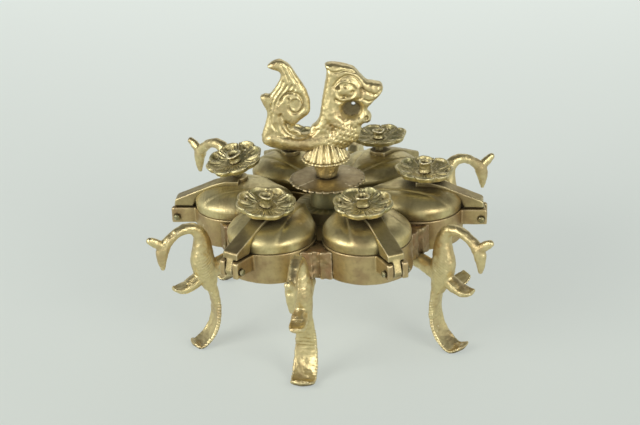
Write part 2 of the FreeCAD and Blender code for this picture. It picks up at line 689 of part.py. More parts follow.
def leg_seated(number):
    """Leg and bracket of one gap, the leg leaning off the bracket and cut to its faces."""
    angle = number * STEP + HALF_STEP
    setting = number % len(LEG_LEANS)
    base = turned(bracket(), angle)
    figure = leg(LEG_RAISES[setting], NECK_STRETCHES[setting], FOOT_CURLS[setting])
    figure = turned(figure, angle + LEG_LEANS[setting])
    for neighbour in (number, number + 1):
        room = teardrop_prism(CUP_R + RUN, CUP_TIP_R, CUP_BOTTOM_Z - RUN, BIG)
        figure = figure.cut(turned(room, neighbour * STEP))
    seat = turned(block(0, BRACKET_OUT_R + RUN, -9, 9, CUP_BOTTOM_Z - RUN, BIG), angle)
    figure = figure.cut(seat)
    return base, max(figure.Solids, key=lambda s: s.Volume)


# ---------------------------------------------------------------- all nodes
def nodes():
    """Every sub-part by name, in place."""
    found = {
        "centre_drum": drum(),
        "gap_webs": webs(),
        "centre_stud": stud(),
        "stud_washer": washer(),
        "stud_nut": nut(),
        "scalloped_disc": lock_disc(),
        "lotus_collar": turned(collar(), FINIAL_TURN_DEG),
        "bird_finial": bird(),
    }
    outer = lid_outer()
    blank = lid_blank(outer)
    bloom = rosette()
    bowl, pin = cup(), hinge_pin()
    for i in range(COUNT):
        made = {
            "cup": bowl,
            "lid": lid(blank, i),
            "hinge_strap": strap(outer, i),
            "hinge_pin": pin,
            "flower": flower(bloom, i),
            "knob_rivet": rivet(i),
        }
        for name, shape in made.items():
            found[f"{name}_{i + 1}"] = turned(shape, i * STEP)
        found[f"leg_bracket_{i + 1}"], found[f"bird_leg_{i + 1}"] = leg_seated(i)
    return found


def main():
    os.makedirs("parts", exist_ok=True)
    for name, shape in nodes().items():
        shape.exportStep(f"parts/{name}.step")
        box = shape.BoundBox
        print(
            f"{name}: solids {len(shape.Solids)} valid {shape.isValid()} volume {shape.Volume:.1f}"
            f" z {box.ZMin:.2f}..{box.ZMax:.2f}"
        )


main()
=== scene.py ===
"""A cast brass powder box: six lidded cups in a ring, on six legs cast as birds, with a bird finial.

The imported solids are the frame. The pieces here are the castings as they leave the chaser's bench:
each is built up from rounded solids in its own plane, melted into one skin, chased with its lines,
and turned to its place in the ring. Lengths are in millimetres until a piece is placed.
"""

import logging
import math
from dataclasses import dataclass
from enum import Enum
from typing import Any, Callable, Iterable, Optional, Sequence

import bmesh
import bpy
import numpy as np
from mathutils import Matrix, Vector


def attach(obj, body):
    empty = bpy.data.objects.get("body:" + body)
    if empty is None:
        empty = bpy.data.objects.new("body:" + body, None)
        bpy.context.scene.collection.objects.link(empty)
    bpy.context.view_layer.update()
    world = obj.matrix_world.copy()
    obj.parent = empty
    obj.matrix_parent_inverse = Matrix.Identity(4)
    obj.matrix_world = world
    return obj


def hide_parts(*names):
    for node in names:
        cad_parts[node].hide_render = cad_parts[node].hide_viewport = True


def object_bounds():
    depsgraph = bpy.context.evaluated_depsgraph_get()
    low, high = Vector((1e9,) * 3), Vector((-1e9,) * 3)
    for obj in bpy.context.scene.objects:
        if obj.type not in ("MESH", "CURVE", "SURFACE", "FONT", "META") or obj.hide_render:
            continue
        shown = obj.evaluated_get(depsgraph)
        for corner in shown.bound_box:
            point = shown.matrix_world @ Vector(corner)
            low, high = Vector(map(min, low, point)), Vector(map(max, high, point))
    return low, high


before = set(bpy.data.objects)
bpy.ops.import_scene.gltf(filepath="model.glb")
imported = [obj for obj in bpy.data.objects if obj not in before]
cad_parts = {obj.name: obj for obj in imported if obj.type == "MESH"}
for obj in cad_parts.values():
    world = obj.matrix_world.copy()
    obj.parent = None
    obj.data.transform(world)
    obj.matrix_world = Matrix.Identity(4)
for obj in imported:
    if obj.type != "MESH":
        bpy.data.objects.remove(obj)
CAD_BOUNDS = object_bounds()

LOG = logging.getLogger("powder_box")

MM = 0.001
COUNT = 6
STEP = 360.0 / COUNT

Point = tuple[float, float]
Station = tuple[float, float, float, float]
Socket = bpy.types.NodeSocket


# ------------------------------------------------------------------------------- finishes
def linear(hex_colour: str) -> tuple[float, float, float, float]:
    """Turn an sRGB hex colour into the linear colour that a shader takes.

    Args:
        hex_colour: six hex digits, with or without a leading hash.

    Returns:
        Red, green and blue in linear light, and an alpha of 1.
    """
    digits = hex_colour.lstrip("#")
    channels = [int(digits[i : i + 2], 16) / 255 for i in (0, 2, 4)]
    red, green, blue = (c / 12.92 if c <= 0.04045 else ((c + 0.055) / 1.055) ** 2.4 for c in channels)
    return red, green, blue, 1.0


def add_node(
    tree: bpy.types.NodeTree, kind: str, inputs: Optional[dict[Any, Any]] = None, **settings: Any
) -> bpy.types.Node:
    """Add a shader node, with its settings and its links.

    Args:
        tree: the node tree it joins.
        kind: the node's type name.
        inputs: what each input gets, by its name or number: a value, or the output socket that feeds it.
        **settings: the node's own properties.

    Returns:
        The new node.
    """
    node = tree.nodes.new(kind)
    for name, value in settings.items():
        setattr(node, name, value)
    for key, value in (inputs or {}).items():
        if isinstance(value, Socket):
            tree.links.new(value, node.inputs[key])
        else:
            node.inputs[key].default_value = value
    return node


# Sizes of the patterns on the brass, in millimetres. The marks are a spacing and a depth.
CLOUD_MM = 9.0
MOTTLE_MM = 1.6
HOLLOW_MM = 4.5
FILE_MARKS = (0.7, 0.2)
RUB_MARKS = (0.25, 0.008)


class Tooling(Enum):
    """How a brass surface was worked after casting."""

    AS_CAST = "as cast and brushed"
    RUBBED = "rubbed smooth"
    FILED = "filed, with the file's marks left in"


@dataclass(frozen=True)
class AgedBrass:
    """Sand-cast brass, aged by handling: bright where fingers rub, brown in the hollows. The bright edges are
    partly painted highlight, and the brown of the hollows partly painted shade.

    Attributes:
        name: the material's name.
        metal: colour of the open surface.
        polish_and_highlight: colour of the edges that handling keeps bright, which is also a painted highlight.
        tarnish_and_shade: colour in the hollows, where it is also painted shade.
        bloom: colour of the patches that solder or damp has left.
        bloom_share: how much of the surface those patches take, from 0 to 1.
        roughness: roughness of the open surface.
        edge_wear_and_highlight: how far handling brightens the edges, and so how strong their painted highlight
            is, from 0 to 1.
        pit_mm: size of the casting pits.
        pit_depth_mm: their depth.
        tooling: how it was worked.
    """

    name: str
    metal: str = "#e0d09c"
    polish_and_highlight: str = "#fff3cd"
    tarnish_and_shade: str = "#4f442d"
    bloom: str = "#c0a67a"
    bloom_share: float = 0.2
    roughness: float = 0.42
    edge_wear_and_highlight: float = 0.5
    pit_mm: float = 0.5
    pit_depth_mm: float = 0.05
    tooling: Tooling = Tooling.AS_CAST

    def material(self) -> bpy.types.Material:
        """Build the material.

        Returns:
            The node material, in millimetre scale on the Object coordinates.
        """
        made = bpy.data.materials.new(self.name)
        made.use_nodes = True
        tree = made.node_tree
        tree.nodes.clear()
        place = add_node(tree, "ShaderNodeTexCoord")
        in_mm = add_node(
            tree, "ShaderNodeMapping", {"Vector": place.outputs["Object"], "Scale": (1000.0,) * 3}
        ).outputs[0]

        # Slow clouds of colour, and mottling within them.
        clouds = self._noise(tree, in_mm, CLOUD_MM, 3.0, 0.6)
        mottle = self._noise(tree, in_mm, MOTTLE_MM, 5.0, 0.62)
        edge = 0.66 - 0.3 * self.bloom_share
        bloom = add_node(
            tree,
            "ShaderNodeMapRange",
            {"Value": clouds, "From Min": edge - 0.14, "From Max": edge + 0.14, "To Max": 0.7},
            interpolation_type="SMOOTHSTEP",
        ).outputs[0]
        dull = add_node(
            tree, "ShaderNodeMapRange", {"Value": mottle, "From Min": 0.45, "From Max": 0.75, "To Max": 0.22}
        ).outputs[0]
        body = self._mix(tree, bloom, linear(self.metal), linear(self.bloom))
        body = self._mix(tree, dull, body, linear(self.tarnish_and_shade))

        # Dirt stays in the hollows, and is broken up by the mottling at its edge. The mask is the ambient
        # occlusion, so it is also painted shade, darkest where parts crowd close.
        shade = add_node(
            tree, "ShaderNodeAmbientOcclusion", {"Distance": HOLLOW_MM * MM}, samples=6
        ).outputs["AO"]
        open_air = add_node(
            tree, "ShaderNodeMath", {0: shade, 1: self._centred(tree, mottle, 0.35)}, operation="ADD"
        ).outputs[0]
        dirt_and_shade = add_node(
            tree,
            "ShaderNodeMapRange",
            {"Value": open_air, "From Min": 0.84, "From Max": 0.34, "To Min": 0.0, "To Max": 0.95},
        ).outputs[0]
        body = self._mix(tree, dirt_and_shade, body, linear(self.tarnish_and_shade))

        # Handling brightens the edges that stand out: real wear, and also a painted highlight on every sharp
        # edge.
        form = add_node(tree, "ShaderNodeNewGeometry").outputs["Pointiness"]
        rubbed = add_node(
            tree,
            "ShaderNodeMapRange",
            {"Value": form, "From Min": 0.512, "From Max": 0.575, "To Max": self.edge_wear_and_highlight},
            interpolation_type="SMOOTHSTEP",
        ).outputs[0]
        body = self._mix(tree, rubbed, body, linear(self.polish_and_highlight))

        worn = add_node(
            tree,
            "ShaderNodeMapRange",
            {
                "Value": mottle, "From Min": 0.3, "From Max": 0.75,
                "To Min": self.roughness - 0.07, "To Max": self.roughness + 0.12,
            },
        ).outputs[0]
        # Dirt is duller, and a rubbed edge shinier.
        rough = self._add_share(tree, dirt_and_shade, 0.3, worn)
        rough = self._add_share(tree, rubbed, -0.12, rough)

        shader = add_node(
            tree,
            "ShaderNodeBsdfPrincipled",
            {"Base Color": body, "Metallic": 1.0, "Roughness": rough, "Normal": self._relief(tree, in_mm)},
        )
        add_node(tree, "ShaderNodeOutputMaterial", {"Surface": shader.outputs[0]})
        return made

    def _relief(self, tree: bpy.types.NodeTree, in_mm: Socket) -> Socket:
        """Casting pits, and file marks or fine rubbing over them.

        Args:
            tree: the material's tree.
            in_mm: coordinates in millimetres.

        Returns:
            The normal for the shader.
        """
        pits = self._noise(tree, in_mm, self.pit_mm, 4.0, 0.6)
        normal = add_node(
            tree, "ShaderNodeBump", {"Height": pits, "Strength": 1.0, "Distance": self.pit_depth_mm * MM}
        ).outputs[0]
        if self.tooling is Tooling.AS_CAST:
            return normal
        apart, depth = FILE_MARKS if self.tooling is Tooling.FILED else RUB_MARKS
        along = add_node(
            tree,
            "ShaderNodeMapping",
            {"Vector": in_mm, "Rotation": (0.3, 0.5, 0.9), "Scale": (1 / apart, 0.12, 0.12)},
        ).outputs[0]
        scratches = self._noise(tree, along, 1.0, 2.0, 0.7)
        return add_node(
            tree,
            "ShaderNodeBump",
            {"Height": scratches, "Strength": 1.0, "Distance": depth * MM, "Normal": normal},
        ).outputs[0]

    @staticmethod
    def _mix(tree: bpy.types.NodeTree, share: Socket, first: Any, second: Any) -> Socket:
        """Mix two colours, each a socket or a linear colour, and return the colour socket."""
        mixed = add_node(tree, "ShaderNodeMix", {"Factor": share, 6: first, 7: second}, data_type="RGBA")
        return mixed.outputs[2]

    @staticmethod
    def _centred(tree: bpy.types.NodeTree, value: Socket, most: float) -> Socket:
        """Bring a noise of 0 to 1 to a swing of most about zero."""
        return AgedBrass._add_share(tree, value, most, -0.5 * most)

    @staticmethod
    def _add_share(tree: bpy.types.NodeTree, value: Socket, share: float, base: Any) -> Socket:
        """Add a share of a value to a base, which is a socket or a number."""
        return add_node(
            tree, "ShaderNodeMath", {0: value, 1: share, 2: base}, operation="MULTIPLY_ADD"
        ).outputs[0]

    @staticmethod
    def _noise(tree: bpy.types.NodeTree, in_mm: Socket, size: float, detail: float, rough: float) -> Socket:
        """Noise whose patches are about size millimetres across."""
        return add_node(
            tree,
            "ShaderNodeTexNoise",
            {"Vector": in_mm, "Scale": 1 / size, "Detail": detail, "Roughness": rough},
        ).outputs["Fac"]


@dataclass(frozen=True)
class PaintedBoard:
    """The pale foam board that the box stands on, with painted light glowing in it."""

    name: str = "Matt pale board"
    colour: str = "#9da39d"
    painted_glow: str = "#f6fdf8"

    def material(self) -> bpy.types.Material:
        """Build the material and return it."""
        made = bpy.data.materials.new(self.name)
        made.use_nodes = True
        tree = made.node_tree
        shader = tree.nodes["Principled BSDF"]
        shader.inputs["Base Color"].default_value = linear(self.colour)
        shader.inputs["Roughness"].default_value = 0.9
        shader.inputs["Specular IOR Level"].default_value = 0.2
        # Painted light: the sheet glows, a little more farther back, and the glow lifts the box's shadow on it.
        place = add_node(tree, "ShaderNodeTexCoord").outputs["Object"]
        back = add_node(tree, "ShaderNodeSeparateXYZ", {0: place}).outputs[1]
        through = add_node(
            tree,
            "ShaderNodeMapRange",
            {"Value": back, "From Min": -0.12, "From Max": 0.5, "To Min": 0.37, "To Max": 0.66},
        ).outputs[0]
        # It is for the eye and for the brass that mirrors the sheet, and throws no light on the box.
        path = add_node(tree, "ShaderNodeLightPath").outputs
        seen = path["Is Camera Ray"]
        for ray in ("Is Glossy Ray", "Is Transmission Ray"):
            seen = add_node(
                tree, "ShaderNodeMath", {0: seen, 1: path[ray]}, operation="ADD", use_clamp=True
            ).outputs[0]
        shown = add_node(tree, "ShaderNodeMath", {0: seen, 1: through}, operation="MULTIPLY").outputs[0]
        tree.links.new(shown, shader.inputs["Emission Strength"])
        shader.inputs["Emission Color"].default_value = linear(self.painted_glow)
        return made


class Finishes:
    """The finishes of the box, each made once."""

    def __init__(self) -> None:
        rubbed, filed = Tooling.RUBBED, Tooling.FILED
        self.bird = AgedBrass(
            "Aged cast brass, birds", bloom_share=0.3, roughness=0.4, pit_mm=0.6, pit_depth_mm=0.1
        ).material()
        # A darker brass, painted shade for the hollow under the beak.
        self.hollow = AgedBrass(
            "Dark brass, painted shade under the beak", metal="#857a5c", tarnish_and_shade="#3f3624", bloom_share=0.1, roughness=0.62,
            edge_wear_and_highlight=0.1,
        ).material()
        # The flowers' rims take the strongest painted highlight.
        self.flower = AgedBrass(
            "Aged cast brass, flowers", metal="#d6c996", bloom="#a5a57c", bloom_share=0.3, edge_wear_and_highlight=0.95,
            pit_mm=0.4, pit_depth_mm=0.08,
        ).material()
        self.lid = AgedBrass(
            "Rubbed brass, lids", metal="#d8ca95", bloom="#9f8a62", bloom_share=0.35, edge_wear_and_highlight=0.25,
            pit_mm=0.9, pit_depth_mm=0.02, tooling=rubbed,
        ).material()
        self.strap = AgedBrass(
            "Dull brass, straps", metal="#bdae7e", bloom="#998663", bloom_share=0.35, roughness=0.44,
            tooling=rubbed,
        ).material()
        self.filed_lid = AgedBrass(
            "Filed brass, left lid", metal="#dccf9c", bloom="#b8a476", roughness=0.44, tooling=filed
        ).material()
        self.cup = AgedBrass(
            "Brass with solder bloom, cups", metal="#c4b080", bloom="#a58a66", bloom_share=0.5,
            roughness=0.46, edge_wear_and_highlight=0.3, pit_mm=0.6,
        ).material()
        self.solder = AgedBrass(
            "Coppery solder and dark brass, joints", metal="#ab9770", tarnish_and_shade="#43392a", bloom="#b38c6c",
            bloom_share=0.5, roughness=0.52, pit_depth_mm=0.09,
        ).material()
        self.disc = AgedBrass(
            "Brown brass, scalloped disc", metal="#b3a27a", bloom="#94825e", bloom_share=0.6,
            roughness=0.44, pit_mm=0.7, tooling=rubbed,
        ).material()
        self.stud = AgedBrass(
            "Greenish dull brass, stud and pins", metal="#968d66", bloom="#7d8062", bloom_share=0.4,
            roughness=0.52,
        ).material()


# ------------------------------------------------------------------------------- shared work
def curved(points: Sequence[Point], parts: int = 6, closed: bool = False) -> list[Point]:
    """Round a line of points into a smooth curve that still passes through them.

    Args:
        points: the points.
        parts: how many pieces each stretch is divided into.
        closed: whether the line returns to its start.

    Returns:
        The points of the curve.
    """
    count = len(points)
    if count < 3:
        return list(points)
    result: list[Point] = []
    for i in range(count if closed else count - 1):
        around = [points[(i + k) % count if closed else min(max(i + k, 0), count - 1)] for k in (-1, 0, 1, 2)]
        for part in range(parts):
            t = part / parts
            result.append(
                tuple(
                    0.5 * (2 * b + (c - a) * t + (2 * a - 5 * b + 4 * c - d) * t * t)
                    + 0.5 * (3 * b - a - 3 * c + d) * t ** 3
                    for a, b, c, d in zip(*around)
                )
            )
    if not closed:
        result.append(tuple(points[-1]))
    return result


def gap_to_line(spots: np.ndarray, line: Sequence[Point], closed: bool = False) -> np.ndarray:
    """Measure how far each spot lies from a line.

    Args:
        spots: an array of flat positions, two columns.
        line: the line's points.
        closed: whether the line returns to its start.

    Returns:
        The distance of each spot.
    """
    ends = list(line) + ([line[0]] if closed else [])
    nearest = np.full(len(spots), 1e9)
    for start, end in zip(ends, ends[1:]):
        a, run = np.array(start), np.array(end) - np.array(start)
        share = np.clip((spots - a) @ run / max(run @ run, 1e-9), 0.0, 1.0)
        nearest = np.minimum(nearest, np.linalg.norm(spots - (a + share[:, None] * run), axis=1))
    return nearest


@dataclass(frozen=True)
class Line:
    """A line chased into a casting, seen from the side.

    Attributes:
        path: its points in the casting's plane.
        width: half its width.
        depth: how deep it is cut, or how proud it stands if negative.
        closed: whether it returns to its start.
    """

    path: Sequence[Point]
    width: float = 0.35
    depth: float = 0.3
    closed: bool = False


class Skin:
    """A mesh in millimetres that becomes one piece of the box."""

    def __init__(self, name: str) -> None:
        self.name = name
        self.bm = bmesh.new()

    # solids, added one over another
    def limb(self, stations: Sequence[Station], sides: int = 20) -> None:
        """Add a rounded limb.

        Args:
            stations: x, z, half depth and half width along it.
            sides: how many sides its rings have.
        """
        rings = []
        last = len(stations) - 1
        for i, (x, z, depth, width) in enumerate(stations):
            before, after = stations[max(i - 1, 0)], stations[min(i + 1, last)]
            along = Vector((after[0] - before[0], 0.0, after[1] - before[1])).normalized()
            deep = Vector((-along.z, 0.0, along.x))
            frame_of_ring = Matrix.Translation((x, 0.0, z)) @ Matrix(
                ((deep.x * depth, 0.0, along.x), (0.0, width, 0.0), (deep.z * depth, 0.0, along.z))
            ).to_4x4()
            made = bmesh.ops.create_circle(
                self.bm, cap_ends=i in (0, last), segments=sides, radius=1.0, matrix=frame_of_ring
            )
            rings.append(list({e for v in made["verts"] for e in v.link_edges}))
        for ring, following in zip(rings, rings[1:]):
            bmesh.ops.bridge_loops(self.bm, edges=ring + following)

    def slab(self, outline: Sequence[Point], thick: float) -> None:
        """Add a flat slab in the piece's plane, with the given outline and thickness."""
        corners = [self.bm.verts.new((x, -thick / 2, z)) for x, z in outline]
        face = self.bm.faces.new(corners)
        raised = bmesh.ops.extrude_face_region(self.bm, geom=[face])["geom"]
        bmesh.ops.translate(
            self.bm, verts=[v for v in raised if isinstance(v, bmesh.types.BMVert)], vec=(0.0, thick, 0.0)
        )

    def ball(self, centre: Sequence[float], radii: Sequence[float]) -> None:
        """Add an ellipsoid."""
        shape = Matrix.Translation(centre) @ Matrix.Diagonal((*radii, 1.0))
        bmesh.ops.create_icosphere(self.bm, subdivisions=3, radius=1.0, matrix=shape)

    def hoop(self, centre: Sequence[float], across: float, high: float, wire: float) -> None:
        """Add an oval hoop of round wire, flat against one side of the piece."""
        squash = Matrix.Diagonal((2 * wire / (across + high), 1.0, wire, 1.0))
        section = Matrix.Translation((1.0, 0.0, 0.0)) @ squash
        before = set(self.bm.verts)
        seed = bmesh.ops.create_circle(
            self.bm, segments=10, radius=1.0, matrix=section @ Matrix.Rotation(math.pi / 2, 4, "X")
        )["verts"]
        edges = list({e for v in seed for e in v.link_edges})
        bmesh.ops.spin(
            self.bm, geom=seed + edges, axis=(0.0, 0.0, 1.0), cent=(0.0, 0.0, 0.0), angle=2 * math.pi, steps=36,
            use_merge=True,
        )
        ring = [v for v in self.bm.verts if v not in before]
        upright = Matrix.Rotation(math.pi / 2, 4, "X") @ Matrix.Diagonal((across, high, 1.0, 1.0))
        bmesh.ops.transform(self.bm, matrix=Matrix.Translation(centre) @ upright, verts=ring)

    def wrap(self, sides: int, rings: int, form: Callable[[np.ndarray, np.ndarray], np.ndarray]) -> None:
        """Add a closed surface wrapped round an upright axis.

        Args:
            sides: how many faces go round it.
            rings: how many faces go along it, from its start to its end.
            form: takes the turn in radians and the share of the way along, and gives positions.
        """
        made = bmesh.ops.create_grid(self.bm, x_segments=sides, y_segments=rings, size=1.0)["verts"]
        flat = np.array([v.co[:2] for v in made])
        places = form((flat[:, 0] + 1) * math.pi, (flat[:, 1] + 1) / 2)
        for vert, place in zip(made, places):
            vert.co = place
        bmesh.ops.remove_doubles(self.bm, verts=made, dist=1e-4)
        bmesh.ops.recalc_face_normals(self.bm, faces=self.bm.faces)

    def join(self, other: "Skin") -> None:
        """Take another skin's mesh into this one."""
        drawn = bpy.data.meshes.new("join")
        other.bm.to_mesh(drawn)
        other.bm.free()
        self.bm.from_mesh(drawn)
        bpy.data.meshes.remove(drawn)

    def copy_of(self, node: str, turn: float = 0.0) -> None:
        """Start from a copy of a node of the frame, turned back by turn degrees to face along +X."""
        self.bm.from_mesh(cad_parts[node].data)
        bmesh.ops.remove_doubles(self.bm, verts=self.bm.verts, dist=1e-6)
        back = Matrix.Rotation(math.radians(-turn), 4, "Z") @ Matrix.Scale(1 / MM, 4)
        bmesh.ops.transform(self.bm, matrix=back, verts=self.bm.verts)

    def take(self, drawn: bpy.types.Mesh) -> None:
        """Replace the mesh with another."""
        self.bm.clear()
        self.bm.from_mesh(drawn)
        bpy.data.meshes.remove(drawn)

    # whole-skin work
    def melt(self, grain: float, rounds: int) -> None:
        """Melt the solids into one skin and soften it.

        Args:
            grain: size of the skin's faces.
            rounds: how many times it is smoothed.
        """
        bmesh.ops.recalc_face_normals(self.bm, faces=self.bm.faces)

        def dress(thing: bpy.types.Object) -> None:
            remesh = thing.modifiers.new("Melt", "REMESH")
            remesh.mode = "VOXEL"
            remesh.voxel_size = grain
            smooth = thing.modifiers.new("Soften", "SMOOTH")
            smooth.factor = 0.5
            smooth.iterations = rounds

        self.through(dress)

    def roughen(self, size: float, depth: float) -> None:
        """Give the skin the uneven surface of a sand casting.

        Args:
            size: size of the unevenness.
            depth: its depth.
        """
        clouds = bpy.data.textures.new(f"{self.name} unevenness", "CLOUDS")
        clouds.noise_scale = size
        clouds.noise_depth = 1

        def dress(thing: bpy.types.Object) -> None:
            uneven = thing.modifiers.new("Uneven", "DISPLACE")
            uneven.texture = clouds
            uneven.texture_coords = "LOCAL"
            uneven.strength = depth * 2
            uneven.mid_level = 0.5

        self.through(dress)
        bpy.data.textures.remove(clouds)

    def through(self, dress: Callable[[bpy.types.Object], None]) -> None:
        """Run the mesh through modifiers that dress adds, and keep the result."""
        drawn = bpy.data.meshes.new("work")
        self.bm.to_mesh(drawn)
        thing = bpy.data.objects.new("work", drawn)
        bpy.context.scene.collection.objects.link(thing)
        dress(thing)
        bpy.context.view_layer.update()
        result = bpy.data.meshes.new_from_object(thing.evaluated_get(bpy.context.evaluated_depsgraph_get()))
        bpy.data.objects.remove(thing)
        bpy.data.meshes.remove(drawn)
        self.take(result)

    def arrays(self) -> tuple[np.ndarray, np.ndarray]:
        """Positions and normals of the vertices, one row each."""
        self.bm.normal_update()
        return (
            np.array([v.co[:] for v in self.bm.verts]).reshape(-1, 3),
            np.array([v.normal[:] for v in self.bm.verts]).reshape(-1, 3),
        )

    def move(self, positions: np.ndarray) -> None:
        """Put every vertex at its new position."""
        for vert, place in zip(self.bm.verts, positions):
            vert.co = place

    def chase(self, lines: Iterable[Line]) -> None:
        """Cut or raise lines on both sides of the piece."""
        places, normals = self.arrays()
        flat = places[:, [0, 2]]
        facing = np.clip(np.abs(normals[:, 1]) * 1.6 - 0.35, 0.0, 1.0)
        depth = np.zeros(len(places))
        for line in lines:
            gap = gap_to_line(flat, curved(line.path, closed=line.closed), line.closed)
            depth += line.depth * np.exp(-((gap / line.width) ** 2))
        self.move(places - normals * (depth * facing)[:, None])

    def place(
        self, material: bpy.types.Material, body: str, stands_for: Sequence[str], slot: str, turn: float = 0.0
    ) -> bpy.types.Object:
        """Turn the skin into a piece of the box.

        Args:
            material: its finish.
            body: the body that it rides on.
            stands_for: the nodes of the frame that it replaces.
            slot: the record's material slot, which is not used.
            turn: degrees about the ring's axis from +X to its place.

        Returns:
            The piece.
        """
        matrix = Matrix.Rotation(math.radians(turn), 4, "Z") @ Matrix.Scale(MM, 4)
        bmesh.ops.transform(self.bm, matrix=matrix, verts=self.bm.verts)
        for face in self.bm.faces:
            face.smooth = True
        drawn = bpy.data.meshes.new(self.name)
        self.bm.to_mesh(drawn)
        self.bm.free()
        drawn.materials.append(material)
        piece = bpy.data.objects.new(self.name, drawn)
        bpy.context.scene.collection.objects.link(piece)
        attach(piece, body)
        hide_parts(*stands_for)
        LOG.info("%s: %d faces", self.name, len(drawn.polygons))
        return piece


def eased(values: np.ndarray, start: float, end: float) -> np.ndarray:
    """Rise smoothly from 0 at start to 1 at end (or fall, if end is below start)."""
    share = np.clip((values - start) / (end - start), 0.0, 1.0)
    return share * share * (3 - 2 * share)


def bump(values: np.ndarray, centre: float, width: float) -> np.ndarray:
    """A rounded hump of height 1 at centre."""
    return np.exp(-(((values - centre) / width) ** 2))


def along_profile(profile: Sequence[Point], share: np.ndarray) -> tuple[np.ndarray, np.ndarray]:
    """Walk a profile of radius and height by its length.

    Args:
        profile: the points.
        share: how far along, from 0 to 1.

    Returns:
        The radius and the height there.
    """
    points = np.array(profile)
    length = np.concatenate([[0.0], np.cumsum(np.linalg.norm(np.diff(points, axis=0), axis=1))])
    where = share * length[-1]
    return np.interp(where, length, points[:, 0]), np.interp(where, length, points[:, 1])


# ------------------------------------------------------------------------------- compartments
@dataclass(frozen=True)
class LidForm:
    """The mango-bud dome of a lid, for a compartment that points along +X.

    A raised strip runs from the lid's point under the strap, with a pillow-like lobe on each side,
    and an upright band runs round the foot.

    Attributes:
        ring: ring axis to the middle of the cup.
        radius: radius of the round end.
        tip: ring axis to the lid's point.
        rim: height of the lid's underside.
        top: height of the dome over the middle.
        wall: thickness.
        split: half the strip's width, in degrees seen from the point.
        step: how far the strip stands over the lobes.
        bulge: how far the lobes swell.
        lean_in: how far the flank tucks in at the rim.
    """

    ring: float = 34.0
    radius: float = 15.85
    tip: float = 12.85
    rim: float = 45.56
    top: float = 54.2
    wall: float = 1.2
    split: float = 17.0
    step: float = 0.9
    bulge: float = 1.6
    lean_in: float = 0.35

    def reach(self, turn: np.ndarray, radius: float, tip: float) -> np.ndarray:
        """How far the outline lies from the cup's middle, for a turn of 0 at the outer end."""
        flank = math.pi / 2 - math.asin(radius / (self.ring - tip))
        from_tip = np.abs(math.pi - turn)
        return np.where(from_tip < flank, radius / np.cos(np.minimum(flank - from_tip, 1.2)), radius)

    def height(self, turn: np.ndarray, share: np.ndarray, lobed: bool = True) -> np.ndarray:
        """Height of the dome at a share of the way out to its outline."""
        inward = (1 - np.cos(turn)) / 2
        low = self.rim + 2.8
        dome = low + (self.top - low) * np.maximum(1 - share ** (2.8 + 2.0 * inward ** 1.5), 0.0) ** 0.6
        if not lobed:
            return dome
        out = self.reach(turn, self.radius, self.tip) * share
        x, y = self.ring + out * np.cos(turn), out * np.sin(turn)
        aside = np.degrees(np.abs(np.arctan2(y, x - self.tip + 1.5)))
        over = 1 - eased(aside, self.split - 0.6, self.split + 2.2)
        fade = np.minimum(1.0, 3.0 * share) * (1 - share ** 10)
        pillow = np.sin(math.pi * np.clip((aside - self.split) / 46.0, 0.0, 1.0)) ** 0.5
        dome = dome - self.step * (1 - over) * fade
        dome = dome + self.bulge * pillow * (1 - share ** 3) * np.minimum(1.0, 2.0 * share)
        # A lower flange at the outer end, beyond the lobes' rounded shoulder.
        flange = eased(x, 45.4, 46.6) * (1 - over)
        return np.maximum(dome - 1.0 * flange, low - 0.4 * flange)

    def __call__(self, turn: np.ndarray, share: np.ndarray) -> np.ndarray:
        """Positions on the closed shell: down the outside, under the rim and up the inside."""
        outside, band, under = 0.58, 0.70, 0.73
        inner_radius = self.radius - self.wall
        inner_tip = self.tip + self.wall * (self.ring - self.tip) / self.radius
        outer, inner = self.reach(turn, self.radius, self.tip), self.reach(turn, inner_radius, inner_tip)
        dome_share = np.minimum(share / outside, 1.0) ** 0.85
        inner_share = np.clip((1 - share) / (1 - under), 0.0, 1.0) ** 0.85
        over = self.height(turn, dome_share)
        edge = self.height(turn, np.ones_like(turn))
        shell_top = self.height(turn, inner_share, lobed=False) - self.wall * 1.25
        down = np.clip((share - outside) / (band - outside), 0.0, 1.0)
        reach = np.where(share <= band, outer * dome_share, inner * inner_share)
        z = np.where(share <= outside, over, edge + (self.rim - edge) * down)
        z = np.where(share > band, self.rim, z)
        crossing = np.clip((share - band) / (under - band), 0.0, 1.0)
        reach = np.where((share > band) & (share <= under), outer + (inner - outer) * crossing, reach)
        z = np.where(share > under, np.maximum(shell_top, self.rim), z)
        # The flank tucks in a little towards the rim.
        reach = reach - self.lean_in * down ** 1.6 * (share <= under)
        return np.stack([self.ring + reach * np.cos(turn), reach * np.sin(turn), z], axis=1)


